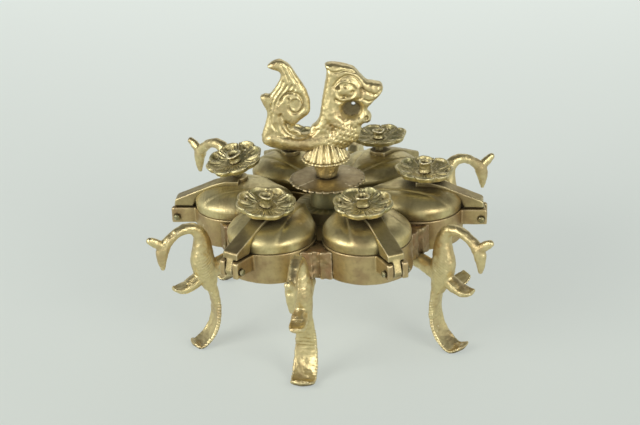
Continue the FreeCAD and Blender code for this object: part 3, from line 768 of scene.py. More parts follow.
@dataclass(frozen=True)
class FlowerForm:
    """An open flower of hollow petals with raised rims, about its own upright axis.

    Attributes:
        bottom: height of its underside in the middle.
        radius: out to the petals' ends.
        thick: thickness.
        petals: how many.
        saucer: radius of the sphere that it follows.
        seed: which casting of the flower this is.
    """

    bottom: float = 56.3
    radius: float = 11.1
    thick: float = 1.5
    petals: int = 8
    saucer: float = 34.0
    seed: int = 0

    def __call__(self, turn: np.ndarray, share: np.ndarray) -> np.ndarray:
        """Positions on the flower: out over its top, down its fluted edge and in under it."""
        rng = np.random.default_rng(40 + self.seed)
        top_end, side_end = 0.68, 0.82
        pitch = 2 * math.pi / self.petals
        turned = turn + 0.35 * rng.random()
        number = np.floor(turned / pitch).astype(int) % self.petals
        off = (turned / pitch - np.floor(turned / pitch) - 0.5) * pitch
        shorter = 0.07 * rng.random(self.petals)[number]
        deeper = 0.6 + 0.7 * rng.random(self.petals)[number]
        pierced = (rng.random(self.petals) < 0.55)[number]
        apart = np.abs(off) / (pitch / 2)
        inside = 1 - apart ** 6
        outline = self.radius * (1 - 0.125 * apart ** 2.2 - shorter * inside * 0.7)
        over = np.minimum(share / top_end, 1.0) ** 0.8
        under = np.clip((1 - share) / (1 - side_end), 0.0, 1.0)
        side = np.clip((share - top_end) / (side_end - top_end), 0.0, 1.0)
        out = np.where(share <= side_end, outline * over, outline * under)
        out = out - np.where(share <= side_end, 0.7 * side ** 2, 0.7 * under)
        out = np.maximum(out, 0.0)

        across, along = out * np.sin(off), out * np.cos(off) - 7.0
        grown = eased(out, 3.0, 4.8)
        from_rim = outline - out
        beside = out * np.sin(np.maximum(pitch / 2 - np.abs(off), 0.0))
        wire = np.maximum(bump(from_rim, 0.62, 0.52), 0.9 * bump(beside, 0.42, 0.4) * eased(out, 3.6, 5.4))
        relief = 0.75 * wire * grown
        relief -= 0.55 * np.exp(-((along / 2.4) ** 2 + (across / 2.2) ** 2)) * deeper
        relief -= 0.35 * bump(beside, 0.0, 0.25) * eased(out, 5.0, 7.5)
        strokes = np.cos(2 * math.pi * off / (pitch / 4))
        relief += 0.17 * strokes * eased(out, 3.0, 4.2) * (1 - eased(out, 7.6, 8.8))
        hole = np.hypot((along - 1.7) / 0.8, across / 1.15)
        relief -= pierced * (0.75 * np.exp(-(hole ** 4)) - 0.25 * bump(hole, 1.5, 0.4))
        saucer = out ** 2 / (2 * self.saucer)
        top = self.bottom + self.thick + saucer + relief
        wavy = 0.22 * np.cos(2 * math.pi * off / (pitch / 3)) * side * (1 - side)
        low = self.bottom + saucer
        z = np.where(share <= top_end, top, top + (low - top) * side)
        z = np.where(share > side_end, low, z)
        out = out + wavy
        return np.stack([out * np.cos(turn), out * np.sin(turn), z], axis=1)


class Compartment:
    """One cup with its hinged lid, strap and flower knob."""

    knob_r = 35.5
    offsets = ((0.3, 2.4), (0.0, 1.0), (0.0, 0.0), (-1.5, -3.4), (0.7, -0.4), (-1.3, -1.3))
    lifts = (0.5, 3.0, 2.6, 4.4, 0.9, 0.7)         # gap between each flower and its strap
    tilts = ((3.0, -2.0), (0.0, 0.0), (0.0, -3.0), (-10.0, -12.0), (6.0, -7.0), (0.0, -6.0))
    bud_heights = (6.0, 4.9, 4.7, 5.3, 6.1, 5.8)   # top of each bud over its flower's underside
    bud_reach = (2.4, 2.4, 2.4, 2.9, 2.5, 2.5)     # radius of its rim
    strap_top = 55.8
    strap_half = 3.1
    strap_end = (57.5, 48.45)
    strap_foot = 45.95
    pin = (56.8, 41.8)
    knuckle_r = 2.1
    knuckle_wide = 2.9

    def __init__(self, number: int, finishes: Finishes) -> None:
        """Set up compartment number, counted from 1 along +X."""
        self.number = number
        self.turn = STEP * (number - 1)
        self.finishes = finishes
        self.body = f"lid_assembly_{number}"
        out, aside = self.offsets[number - 1]
        self.knob = (self.knob_r + out, aside)
        self.pivot_z = self.strap_top + self.lifts[number - 1] / 2
        self.flower_z = self.strap_top + self.lifts[number - 1]

    def build(self) -> None:
        """Build and dress all of it."""
        self.cup()
        self.lid()
        self.strap()
        self.flower()
        self.bud()
        repaint(f"hinge_pin_{self.number}", self.finishes.stud)

    def cup(self) -> None:
        """The cup with its hinge lugs: a rubbed casting with softened corners."""
        skin = Skin(f"Cup_{self.number}")
        skin.copy_of(f"cup_{self.number}", self.turn)
        skin.melt(0.36, rounds=3)
        skin.roughen(6.0, 0.16)
        skin.place(self.finishes.cup, "base", [f"cup_{self.number}"], "cup_brass", self.turn)

    def lid(self) -> None:
        """The mango-bud lid."""
        filed = self.number == 4
        skin = Skin(f"Lid_{self.number}")
        skin.wrap(180, 110, LidForm())
        skin.roughen(7.0, 0.12)
        finish = self.finishes.filed_lid if filed else self.finishes.lid
        skin.place(finish, self.body, [f"lid_{self.number}"], "lid_brass", self.turn)

    def strap(self) -> None:
        """The strap over the lid: a blade that follows the dome down to a knuckle on the hinge pin."""
        form = LidForm()
        end_x, end_z = self.strap_end
        spine = [(self.knob_r - 2.6, self.strap_top - 0.15), (self.knob_r + 2.5, self.strap_top - 0.15)]
        spine += [(self.knob_r + 7.0, self.strap_top - 1.3), (end_x - 0.5, end_z + 0.1), (end_x, end_z - 0.4)]
        under = []
        for x in (49.4, 46.0, 42.0, 38.0, self.knob_r - 2.6):
            share = np.array([abs(x - form.ring) / form.radius])
            turn = np.array([0.0 if x > form.ring else math.pi])
            under.append((x, float(form.height(turn, share)[0]) - 0.9))
        skin = Skin(f"Hinge_strap_{self.number}")
        skin.slab(spine + [(end_x, self.strap_foot), (50.6, self.strap_foot)] + under, 2 * self.strap_half)
        pin_x, pin_z = self.pin
        skin.slab([(pin_x - 2.2, 46.6), (pin_x - 2.2, pin_z), (pin_x + 2.2, pin_z), (end_x, 46.6)], 2.8)
        x, y = self.knob
        eye = Matrix.Translation((x, y, self.strap_top - 1.3))
        bmesh.ops.create_cone(
            skin.bm, cap_ends=True, segments=28, radius1=self.strap_half + 0.6, radius2=self.strap_half + 0.5,
            depth=2.4, matrix=eye,
        )
        barrel = Matrix.Translation((pin_x, 0.0, pin_z)) @ Matrix.Rotation(math.pi / 2, 4, "X")
        bmesh.ops.create_cone(
            skin.bm, cap_ends=True, segments=28, radius1=self.knuckle_r, radius2=self.knuckle_r,
            depth=self.knuckle_wide, matrix=barrel,
        )
        skin.melt(0.26, rounds=3)
        skin.roughen(5.0, 0.12)
        skin.place(self.finishes.strap, self.body, [f"hinge_strap_{self.number}"], "lid_brass", self.turn)

    def lean(self, skin: Skin) -> None:
        """Lean the knob's pieces, which stand on the rivet, the way that this compartment's knob leans."""
        lean_x, lean_y = self.tilts[self.number - 1]
        lean = math.radians(math.hypot(lean_x, lean_y))
        downhill = math.atan2(lean_y, lean_x) - math.radians(self.turn)
        axis = Vector((-math.sin(downhill), math.cos(downhill), 0.0))
        pivot = Vector((*self.knob, self.pivot_z))
        rise = Matrix.Translation(pivot) @ Matrix.Rotation(lean, 4, axis) @ Matrix.Translation(-pivot)
        upper = [v for v in skin.bm.verts if v.co.z > self.pivot_z]
        bmesh.ops.transform(skin.bm, matrix=rise, verts=upper)

    def flower(self) -> None:
        """The flower under the bud."""
        skin = Skin(f"Flower_{self.number}")
        skin.wrap(300, 96, FlowerForm(bottom=self.flower_z, seed=self.number))
        bmesh.ops.translate(skin.bm, verts=skin.bm.verts, vec=(*self.knob, 0.0))
        skin.roughen(1.6, 0.12)
        self.lean(skin)
        skin.place(self.finishes.flower, self.body, [f"flower_{self.number}"], "lid_brass", self.turn)

    def bud(self) -> None:
        """The rivet, with a hollow bud on top and its head inside the lid."""
        bottom, rim = self.flower_z, self.bud_reach[self.number - 1]
        top = bottom + self.bud_heights[self.number - 1]
        low = self.pivot_z
        profile = [
            (0.0, 51.3), (2.9, 51.3), (3.0, 51.9), (1.6, 52.0), (1.6, low), (2.4, low + 0.05),
            (2.4, bottom - 0.1),
            (1.6, bottom), (1.7, bottom + 1.2), (2.3, bottom + 2.0), (1.9, bottom + 3.0), (1.9, top - 1.6),
            (rim * 0.92, top - 0.8), (rim, top - 0.25), (rim * 0.9, top - 0.02), (rim * 0.72, top - 0.1),
            (rim * 0.55, top - 0.9), (rim * 0.4, top - 2.0), (0.0, top - 2.2),
        ]
        x, y = self.knob

        def form(turn: np.ndarray, share: np.ndarray) -> np.ndarray:
            radius, z = along_profile(profile, share)
            wavy = 1 + 0.08 * np.sin(3 * turn + self.number) * eased(z, bottom + 1.0, bottom + 2.5)
            return np.stack([x + radius * wavy * np.cos(turn), y + radius * wavy * np.sin(turn), z], axis=1)

        skin = Skin(f"Bud_{self.number}")
        skin.wrap(64, 90, form)
        skin.roughen(1.2, 0.12)
        self.lean(skin)
        skin.place(self.finishes.flower, self.body, [f"knob_rivet_{self.number}"], "lid_brass", self.turn)


def repaint(node: str, material: bpy.types.Material) -> None:
    """Give a node of the frame that stays in view a better material."""
    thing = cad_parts[node]
    for place in thing.material_slots:
        place.material = material
    if not thing.material_slots:
        thing.data.materials.append(material)


# ------------------------------------------------------------------------------- legs
class BirdLeg:
    """One leg: a bird with an arched neck, cast on one long curved foot, soldered to its bracket."""

    leans = (0.5, -5.0, -3.0, 0.5, -5.0, 0.0)
    raises = (3.0, 0.0, 6.0, 0.0, 0.0, 0.0)
    stretches = (2.2, 0.0, 4.6, 0.0, 0.0, 0.0)
    curls = (1.0, 1.0, 1.0, 0.5, 1.0, 1.0)
    body_line = ((48.2, 22.5, 2.3, 2.9), (49.6, 28.5, 4.1, 3.6), (50.7, 34.0, 4.5, 3.9), (50.4, 39.5, 3.7, 3.3))
    neck_line = (
        (50.7, 43.6, 2.8, 2.7), (52.4, 46.6, 2.3, 2.4), (55.4, 47.8, 2.0, 2.2), (59.2, 47.0, 1.8, 2.0),
        (62.8, 44.6, 1.9, 1.9), (65.2, 41.6, 2.5, 2.1), (65.9, 37.8, 1.9, 1.6), (65.8, 33.6, 0.7, 0.7),
    )
    crest_line = ((65.0, 42.4, 2.0, 1.6), (68.2, 45.0, 1.7, 1.5), (70.2, 46.2, 1.3, 1.1))
    tail_line = ((51.0, 28.5, 3.0, 2.6), (55.6, 25.8, 2.4, 3.0), (59.6, 24.7, 1.8, 3.0), (62.6, 25.5, 0.9, 2.0))
    root_line = ((38.0, 33.0, 2.8, 2.6), (42.5, 31.8, 3.0, 2.8), (47.5, 29.8, 3.4, 2.8))
    foot_sink = 0.25

    def __init__(self, number: int, finishes: Finishes) -> None:
        """Set up leg number, counted from 1."""
        self.number = number
        self.finishes = finishes
        self.gap = STEP * (number - 0.5)
        self.turn = self.gap + self.leans[number - 1]
        self.raised = self.raises[number - 1]
        self.stretch = self.stretches[number - 1]
        self.curl = self.curls[number - 1]

    def lifted(self, line: Sequence[Station], most: float, least: float = 0.0) -> list[Station]:
        """Raise stations in proportion to their height up to the body, and by most above it."""
        return [
            (x, z + max(least, most * min(1.0, max(0.0, z / 28.0))), deep, wide) for x, z, deep, wide in line
        ]

    def shin_line(self) -> list[Station]:
        """Stations down the shin and out to the toe."""
        curl = self.curl
        return self.lifted(
            [
                (49.4, 28.0, 2.4, 2.6),
                (47.4, 20.5, 1.8, 3.3),
                (46.8, 14.0, 1.5, 3.9),
                (47.9, 8.2, 1.4, 4.4),
                (50.6, 3.8, 1.3, 4.7),
                (54.4, 1.3 - self.foot_sink, 1.3, 4.7),
                (54.4 + 3.2 * curl, 1.2 + 0.9 * curl, 1.2, 4.1),
                (54.4 + 4.6 * curl, 1.6 + 1.8 * curl, 0.8, 2.9),
            ],
            self.raised,
        )

    def build(self) -> None:
        """Build and dress the bracket and the leg."""
        self.bracket()
        self.bird()

    def bracket(self) -> None:
        """The block between two cups, with beads of solder along its top."""
        node = f"leg_bracket_{self.number}"
        skin = Skin(f"Leg_bracket_{self.number}")
        skin.copy_of(node, self.gap)
        skin.melt(0.3, rounds=3)
        skin.roughen(1.8, 0.3)
        skin.place(self.finishes.solder, "base", [node], "soldered_brass", self.gap)

    def bird(self) -> None:
        """The bird on its foot."""
        up = self.raised + self.stretch
        skin = Skin(f"Bird_leg_{self.number}")
        body = self.lifted(self.body_line, self.raised)
        neck = self.lifted(self.neck_line, up)
        skin.limb(curved(body + neck, 4))
        skin.limb(curved(self.lifted(self.crest_line, up), 3))
        skin.ball((69.8, 0.0, 46.0 + up), (1.4, 1.3, 1.3))
        tail = curved(self.lifted(self.tail_line, self.raised, self.raised), 4)
        skin.limb(tail)
        shin = curved(self.shin_line(), 4)
        skin.limb(shin, sides=28)
        skin.limb(curved(self.lifted(self.root_line, self.raised, self.raised), 3))
        skin.melt(0.3, rounds=5)
        self.dish(skin, shin[6:], 0.95)
        self.dish(skin, tail[4:], 0.8)
        self.file_marks(skin, shin, body + neck)
        skin.roughen(2.2, 0.22)
        for vert in skin.bm.verts:
            vert.co.z = max(vert.co.z, 0.0)
        skin.place(self.finishes.bird, "base", [f"bird_leg_{self.number}"], "cast_brass", self.turn)

    @staticmethod
    def dish(skin: Skin, line: Sequence[Station], depth: float) -> None:
        """Hollow a limb out along its outer face, and leave a rim at its edges.

        Args:
            skin: the casting.
            line: the limb's stations.
            depth: how deep the hollow is in the middle.
        """
        places, normals = skin.arrays()
        centres = np.array([(x, z) for x, z, _, _ in line])
        runs = np.gradient(centres, axis=0)
        runs /= np.linalg.norm(runs, axis=1)[:, None]
        flat = places[:, [0, 2]]
        gaps = np.linalg.norm(flat[:, None, :] - centres[None, :, :], axis=2)
        near = gaps.argmin(axis=1)
        deep = np.stack([-runs[near, 1], runs[near, 0]], axis=1)
        facing = np.clip((normals[:, [0, 2]] * deep).sum(axis=1) * 1.8 - 0.5, 0.0, 1.0)
        half_width = np.array([wide for _, _, _, wide in line])[near]
        thickness = np.array([thick for _, _, thick, _ in line])[near]
        close = eased(gaps.min(axis=1), thickness + 1.6, thickness + 0.8)
        ends = eased(near.astype(float), 0.0, 5.0)
        across = np.clip(1 - (places[:, 1] / (half_width * 0.82)) ** 2, 0.0, 1.0) ** 0.7
        sunk = depth * facing * close * ends * across * np.minimum(thickness / 1.2, 1.0)
        skin.move(places - np.stack([deep[:, 0], np.zeros(len(deep)), deep[:, 1]], axis=1) * sunk[:, None])

    def file_marks(self, skin: Skin, shin: Sequence[Station], upper: Sequence[Station]) -> None:
        """Cut fine notches across the edges of the foot, and hatch the bird's body beside its strut."""
        places, normals = skin.arrays()
        flat = places[:, [0, 2]]
        spine = np.array([(x, z) for x, z, _, _ in shin])
        length = np.concatenate([[0.0], np.cumsum(np.linalg.norm(np.diff(spine, axis=0), axis=1))])
        near = np.linalg.norm(flat[:, None, :] - spine[None, :, :], axis=2)
        spot, gap = near.argmin(axis=1), near.min(axis=1)
        ahead = np.minimum(spot + 1, len(spine) - 1)
        run = spine[ahead] - spine[spot]
        run /= np.maximum(np.linalg.norm(run, axis=1), 1e-6)[:, None]
        where = length[spot] + ((flat - spine[spot]) * run).sum(axis=1)
        edge = eased(np.abs(normals[:, 1]), 0.35, 0.7) * eased(gap, 3.4, 2.4) * eased(where, 6.0, 12.0)
        notches = 0.24 * edge * (0.5 + 0.5 * np.sin(2 * math.pi * where / 1.15)) ** 2
        chest = np.exp(-(((flat[:, 0] - 50.4) / 3.2) ** 2 + ((flat[:, 1] - 33.0 - self.raised) / 5.5) ** 2))
        slope = flat[:, 0] * 0.55 + flat[:, 1] * 0.85 + 0.4 * places[:, 1]
        hatching = 0.26 * chest * (0.5 + 0.5 * np.sin(2 * math.pi * slope / 1.0)) ** 3
        skin.move(places - normals * (notches + hatching)[:, None])


# ------------------------------------------------------------------------------- middle
class Centre:
    """The drum, the webs, the stud and the scalloped disc that locks the lids."""

    disc_r = 14.1
    disc_bottom = 55.4
    teeth = 28

    def __init__(self, finishes: Finishes) -> None:
        self.finishes = finishes

    def build(self) -> None:
        """Dress the pieces of the frame that stay in view, and build the disc."""
        repaint("centre_drum", self.finishes.stud)
        repaint("gap_webs", self.finishes.solder)
        for node in ("centre_stud", "stud_washer", "stud_nut"):
            repaint(node, self.finishes.stud)
        self.disc()

    def disc(self) -> None:
        """The scalloped disc, thin and slightly crowned, with uneven teeth and a hole for the stud."""
        edge, low = self.disc_r, self.disc_bottom
        profile = [
            (2.62, low), (edge - 1.2, low), (edge - 0.1, low + 0.15), (edge, low + 0.5),
            (edge - 0.25, low + 0.95),
            (edge - 1.4, low + 1.22), (edge * 0.5, low + 1.62), (4.6, low + 1.72),
            (3.9, low + 1.62), (2.62, low + 1.62),
            (2.62, low),
        ]
        rng = np.random.default_rng(7)
        depths = 0.6 + 0.8 * rng.random(self.teeth)
        shifts = 0.10 * (rng.random(self.teeth) - 0.5)

        def form(turn: np.ndarray, share: np.ndarray) -> np.ndarray:
            radius, z = along_profile(profile, share)
            pitch = 2 * math.pi / self.teeth
            tooth = np.floor(turn / pitch).astype(int) % self.teeth
            off = (turn / pitch - np.floor(turn / pitch) - 0.5) * pitch + shifts[tooth]
            notch = np.exp(-((np.abs(np.abs(off) - pitch / 2) / (0.16 * pitch)) ** 2)) * depths[tooth]
            outer = eased(radius, edge - 1.3, edge - 0.2)
            radius = radius - 0.62 * notch * outer
            warp = 0.22 * np.sin(2 * turn + 1.0) * (radius / edge) ** 2
            z = z + 0.28 * notch * outer * (z < low + 0.6) + warp
            return np.stack([radius * np.cos(turn), radius * np.sin(turn), z], axis=1)

        skin = Skin("Scalloped_disc")
        skin.wrap(420, 90, form)
        skin.roughen(5.0, 0.12)
        skin.place(self.finishes.disc, "disc", ["scalloped_disc"], "brown_brass")


# ------------------------------------------------------------------------------- finial
class Finial:
    """The lotus collar that turns on the stud, and the bird cast to stand on it."""

    turn = 7.0
    tail_thick = 4.6
    head_thick = 6.6
    foot_z = 57.23
    collar_r = 9.2
    collar_edge = 63.9
    collar_top = 71.9
    ribs = 15

    tail_outline = (
        (-22.4, 70.9), (-23.0, 74.3), (-21.4, 79.4), (-20.8, 83.3), (-23.0, 88.5), (-21.4, 89.9),
        (-19.3, 89.9), (-17.2, 92.6), (-15.4, 95.6), (-15.6, 98.2), (-19.8, 100.2),
        (-17.6, 102.1), (-14.8, 102.5),
        (-11.8, 100.4), (-9.3, 96.4), (-6.5, 91.6), (-5.2, 87.6), (-5.0, 84.2), (-5.8, 82.0), (-9.3, 79.3),
        (-10.8, 77.8), (-12.2, 77.0), (-9.3, 75.2), (-8.0, 71.5), (-12.0, 69.2), (-17.0, 69.2),
    )
    head_outline = (
        (-1.2, 83.6), (-0.5, 87.4), (0.1, 90.6), (1.0, 94.6), (1.4, 97.8), (0.9, 100.3),
        (4.0, 100.8), (7.0, 100.2),
        (9.6, 99.4), (11.6, 98.2), (13.9, 95.4), (15.8, 93.6), (18.4, 93.0), (20.6, 92.4),
        (21.5, 90.8), (20.6, 88.6),
        (18.9, 86.8), (17.0, 85.0), (15.6, 83.2), (15.9, 81.6), (15.6, 78.4), (13.4, 77.0),
        (12.9, 74.0), (11.0, 70.5),
        (4.0, 69.6), (-3.0, 70.4), (-5.6, 73.4), (-5.0, 76.6), (-2.9, 78.4), (-1.8, 80.6),
    )
    saddle_line = (
        (-20.2, 73.6, 2.6, 2.7), (-15.5, 72.0, 2.8, 3.3), (-9.5, 71.0, 3.4, 4.0), (-3.0, 70.9, 3.9, 4.4),
        (2.4, 71.6, 4.8, 4.7), (6.0, 73.6, 5.6, 4.7), (6.0, 76.8, 5.2, 4.4),
        (2.8, 80.8, 3.8, 4.2), (2.4, 85.2, 2.8, 3.9),
        (3.6, 90.0, 3.0, 3.6),
    )
    jaw_line = ((9.4, 80.4, 1.7, 2.5), (12.4, 80.2, 1.9, 2.5), (15.2, 79.9, 2.2, 2.5))

    feathers = (
        Line(((-14.4, 94.9), (-15.3, 92.7), (-17.2, 90.1), (-18.8, 87.1), (-19.3, 83.7)), 0.34, 0.42),
        Line(((-13.1, 93.3), (-14.2, 91.5), (-16.1, 89.3), (-17.4, 86.7), (-17.9, 84.4)), 0.34, 0.4),
        Line(((-11.3, 93.3), (-12.8, 91.0), (-15.1, 88.9), (-16.3, 86.2)), 0.34, 0.4),
        Line(((-9.8, 93.2), (-10.6, 91.3), (-12.5, 90.6)), 0.34, 0.4),
        Line(((-12.0, 100.1), (-11.1, 97.0), (-9.4, 93.9)), 0.4, 0.4),
        Line(((-14.6, 100.9), (-13.2, 97.6), (-12.4, 95.2)), 0.36, 0.35),
    )
    eye_spots = (
        Line(
            ((-15.5, 87.7), (-13.9, 90.0), (-11.4, 90.6), (-8.9, 89.7), (-7.6, 87.4),
            (-7.7, 84.7), (-9.6, 82.9),
             (-11.7, 83.0), (-12.7, 84.9), (-12.6, 88.0)), 0.5, 0.62,
        ),
        Line(((-15.8, 82.4), (-14.5, 79.6), (-13.1, 78.0), (-10.2, 77.9), (-8.6, 79.7)), 0.42, 0.45),
        Line(((-19.0, 82.9), (-19.2, 79.4), (-17.9, 76.7)), 0.4, 0.45),
        Line(((-16.2, 81.6), (-16.0, 77.8), (-14.3, 75.0), (-10.7, 73.2), (-5.6, 74.2), (-2.6, 76.4)), 0.45, 0.5),
        Line(((-13.8, 78.4), (-11.7, 75.6), (-7.4, 75.4), (-4.8, 76.5)), 1.1, 1.2),
    )
    face = (
        Line(((3.5, 92.6), (6.1, 95.5), (9.8, 96.5), (12.6, 94.8), (14.0, 91.8), (13.5, 88.0)), 0.45, 0.55),
        Line(((4.2, 91.8), (6.4, 93.6), (9.0, 94.3)), 0.35, 0.35),
        Line(((1.6, 98.7), (4.4, 97.8), (8.0, 98.4), (11.6, 97.5)), 0.4, 0.45),
        Line(((4.1, 87.6), (6.5, 86.4), (10.2, 87.0), (13.1, 87.6)), 0.42, 0.5),
        Line(((13.6, 91.4), (16.1, 89.8), (18.9, 88.9), (20.8, 90.3)), 0.4, 0.5),
        Line(((14.5, 87.2), (16.7, 86.3), (18.9, 87.4)), 0.35, 0.35),
    )
    eye = (8.1, 90.9)
    iris_pits = ((7.8, 92.6), (10.3, 90.4), (7.3, 88.9), (5.2, 92.0))
    jaw_hollow = (9.9, 83.4)
    jaw_hole = (10.6, 85.0)
    wattle = (15.1, 79.9)

    def __init__(self, finishes: Finishes) -> None:
        self.finishes = finishes

    def build(self) -> None:
        """Build and dress the collar and the bird."""
        self.collar()
        self.bird()

    def collar(self) -> None:
        """A ribbed cap on a tapered neck, hand filed, so that no two ribs are alike."""
        edge, low, top = self.collar_r, self.collar_edge, self.collar_top
        profile = [
            (0.0, 64.6), (2.6, 64.6), (2.6, self.foot_z), (3.55, self.foot_z), (3.8, self.foot_z + 0.2),
            (4.4, 60.2), (5.3, low - 0.6), (edge - 1.0, low - 0.15), (edge - 0.15, low + 0.1),
            (edge - 0.03, low + 0.4),
            (edge - 0.2, low + 0.8), (edge * 0.92, low + 1.1), (edge * 0.87, low + 2.0),
            (edge * 0.79, low + 3.7),
            (edge * 0.68, low + 5.4), (edge * 0.52, top - 0.9), (edge * 0.3, top - 0.2), (0.0, top),
        ]
        rng = np.random.default_rng(3)
        widths = 0.14 + 0.10 * rng.random(self.ribs)
        depths = 0.7 + 0.5 * rng.random(self.ribs)
        shifts = 0.16 * (rng.random(self.ribs) - 0.5)

        def form(turn: np.ndarray, share: np.ndarray) -> np.ndarray:
            radius, z = along_profile(profile, share)
            pitch = 2 * math.pi / self.ribs
            rib = np.floor(turn / pitch).astype(int) % self.ribs
            off = (turn / pitch - np.floor(turn / pitch) - 0.5) * pitch + shifts[rib] * 0.4
            groove = np.exp(-((np.abs(np.abs(off) - pitch / 2) / (widths[rib] * pitch)) ** 2)) * depths[rib]
            split = 0.5 * bump(off, 0.0, 0.12 * pitch)
            cap = eased(z, low + 0.6, low + 1.5) * eased(radius, 2.2, 4.2) * (share > 0.3)
            notch = bump(np.abs(off), pitch / 2, 0.1 * pitch) + 0.6 * bump(off, 0.0, 0.08 * pitch)
            rim = eased(radius, edge - 1.2, edge - 0.4) * (share > 0.3)
            radius = radius - 0.75 * (groove + split) * cap - 0.5 * notch * rim
            z = z - 0.3 * groove * cap
            return np.stack([radius * np.cos(turn), radius * np.sin(turn), z], axis=1)

        skin = Skin("Lotus_collar")
        skin.wrap(300, 170, form)
        skin.roughen(1.5, 0.16)
        skin.place(self.finishes.bird, "finial", ["lotus_collar"], "cast_brass", self.turn)

    def bird(self) -> None:
        """The bird: an upright feathered tail, a saddle of a back, and a crested head with an open beak."""
        skin = self.rounded_slab(self.tail_outline, self.tail_thick)
        skin.name = "Bird_finial"
        skin.join(self.rounded_slab(self.head_outline, self.head_thick))
        skin.limb(curved(self.saddle_line, 3), sides=28)
        skin.limb(curved(self.jaw_line, 3))
        skin.ball((15.2, 0.0, 79.8), (1.9, 2.5, 2.5))
        skin.ball((-19.6, 0.0, 72.9), (3.0, 2.9, 2.9))
        skin.ball((0.0, 0.0, 68.4), (6.0, 4.4, 2.6))
        for side in (-1.0, 1.0):
            skin.ball((self.eye[0], side * 2.3, self.eye[1]), (3.7, 1.9, 3.0))
            skin.hoop((self.eye[0], side * 3.25, self.eye[1]), 4.3, 3.5, 0.62)
            skin.hoop((-10.4, side * 2.1, 86.3), 2.1, 2.6, 0.55)
        skin.melt(0.27, rounds=4)
        skin.chase(self.feathers + self.eye_spots + self.face)
        self.pit(skin, self.jaw_hollow, (3.9, 3.3), 3.6)
        self.bore(skin, self.jaw_hole, 0.75)
        for spot in self.iris_pits:
            self.pit(skin, spot, (0.75, 0.65), 0.7)
        self.pit(skin, self.wattle, (0.8, 0.9), 0.9)
        self.hatch(skin)
        skin.roughen(1.6, 0.16)
        piece = skin.place(self.finishes.bird, "finial", ["bird_finial"], "cast_brass", self.turn)
        self.paint_jaw_shade(piece)

    def paint_jaw_shade(self, piece: bpy.types.Object) -> None:
        """Paint the hollow under the beak in a darker brass: painted shade in the recess."""
        piece.data.materials.append(self.finishes.hollow)
        back = Matrix.Rotation(math.radians(-self.turn), 3, "Z")
        middle_x, middle_z = self.jaw_hollow
        for face in piece.data.polygons:
            x, y, z = back @ face.center / MM
            if math.hypot((x - middle_x) / 3.3, (z - middle_z) / 2.7) < 1.0 and abs(y) < 2.7:
                face.material_index = 1

    @staticmethod
    def rounded_slab(outline: Sequence[Point], thick: float) -> Skin:
        """A slab of the outline whose edges thin out, like wax pressed by hand."""
        smooth = curved(outline, 5, closed=True)
        skin = Skin("slab")
        skin.slab(smooth, thick)
        skin.melt(0.42, rounds=3)
        places, _ = skin.arrays()
        inward = np.clip(gap_to_line(places[:, [0, 2]], smooth, True) / 2.4, 0.0, 1.0)
        places[:, 1] *= 0.45 + 0.55 * np.sqrt(1 - (1 - inward) ** 2)
        skin.move(places)
        return skin

    @staticmethod
    def bore(skin: Skin, centre: Point, radius: float) -> None:
        """Drill a hole right through the plane of the piece."""
        drill = bmesh.new()
        along = Matrix.Translation((centre[0], 0.0, centre[1])) @ Matrix.Rotation(math.pi / 2, 4, "X")
        bmesh.ops.create_cone(
            drill, cap_ends=True, segments=20, radius1=radius, radius2=radius, depth=30.0, matrix=along
        )
        drawn = bpy.data.meshes.new("drill")
        drill.to_mesh(drawn)
        drill.free()
        bit = bpy.data.objects.new("drill", drawn)
        bpy.context.scene.collection.objects.link(bit)

        def dress(thing: bpy.types.Object) -> None:
            cut = thing.modifiers.new("Hole", "BOOLEAN")
            cut.operation = "DIFFERENCE"
            cut.solver = "EXACT"
            cut.object = bit

        skin.through(dress)
        bpy.data.objects.remove(bit)
        bpy.data.meshes.remove(drawn)

    @staticmethod
    def pit(skin: Skin, centre: Point, radii: Point, depth: float) -> None:
        """Press a rounded hollow into both sides."""
        places, normals = skin.arrays()
        far = ((places[:, 0] - centre[0]) / radii[0]) ** 2 + ((places[:, 2] - centre[1]) / radii[1]) ** 2
        sunk = depth * np.exp(-(far ** 2)) * np.clip(np.abs(normals[:, 1]) * 3, 0.0, 1.0)
        limit = np.maximum(np.abs(places[:, 1]) - 0.6, 0.0)
        places[:, 1] -= np.sign(places[:, 1]) * np.minimum(sunk, limit)
        skin.move(places)

    @staticmethod
    def hatch(skin: Skin) -> None:
        """Cut rows of small feathers on the breast."""
        places, normals = skin.arrays()
        x, z = places[:, 0], places[:, 2]
        breast = eased(x, -2.0, 1.0) * eased(x, 12.5, 10.5) * eased(z, 67.6, 70.0) * eased(z, 80.6, 78.0)
        rows = z * 0.9 + x * 0.35
        tick = 0.5 + 0.5 * np.sin(2 * math.pi * rows / 1.9)
        stagger = np.floor(rows / 1.9) % 2 * 0.8
        feather = 0.5 + 0.5 * np.sin(2 * math.pi * (x * 0.95 - z * 0.3 + stagger) / 1.6)
        cut = 0.3 * breast * tick ** 1.5 * feather ** 1.5 * np.clip(np.abs(normals[:, 1]) * 1.5, 0.0, 1.0)
        skin.move(places - normals * cut[:, None])


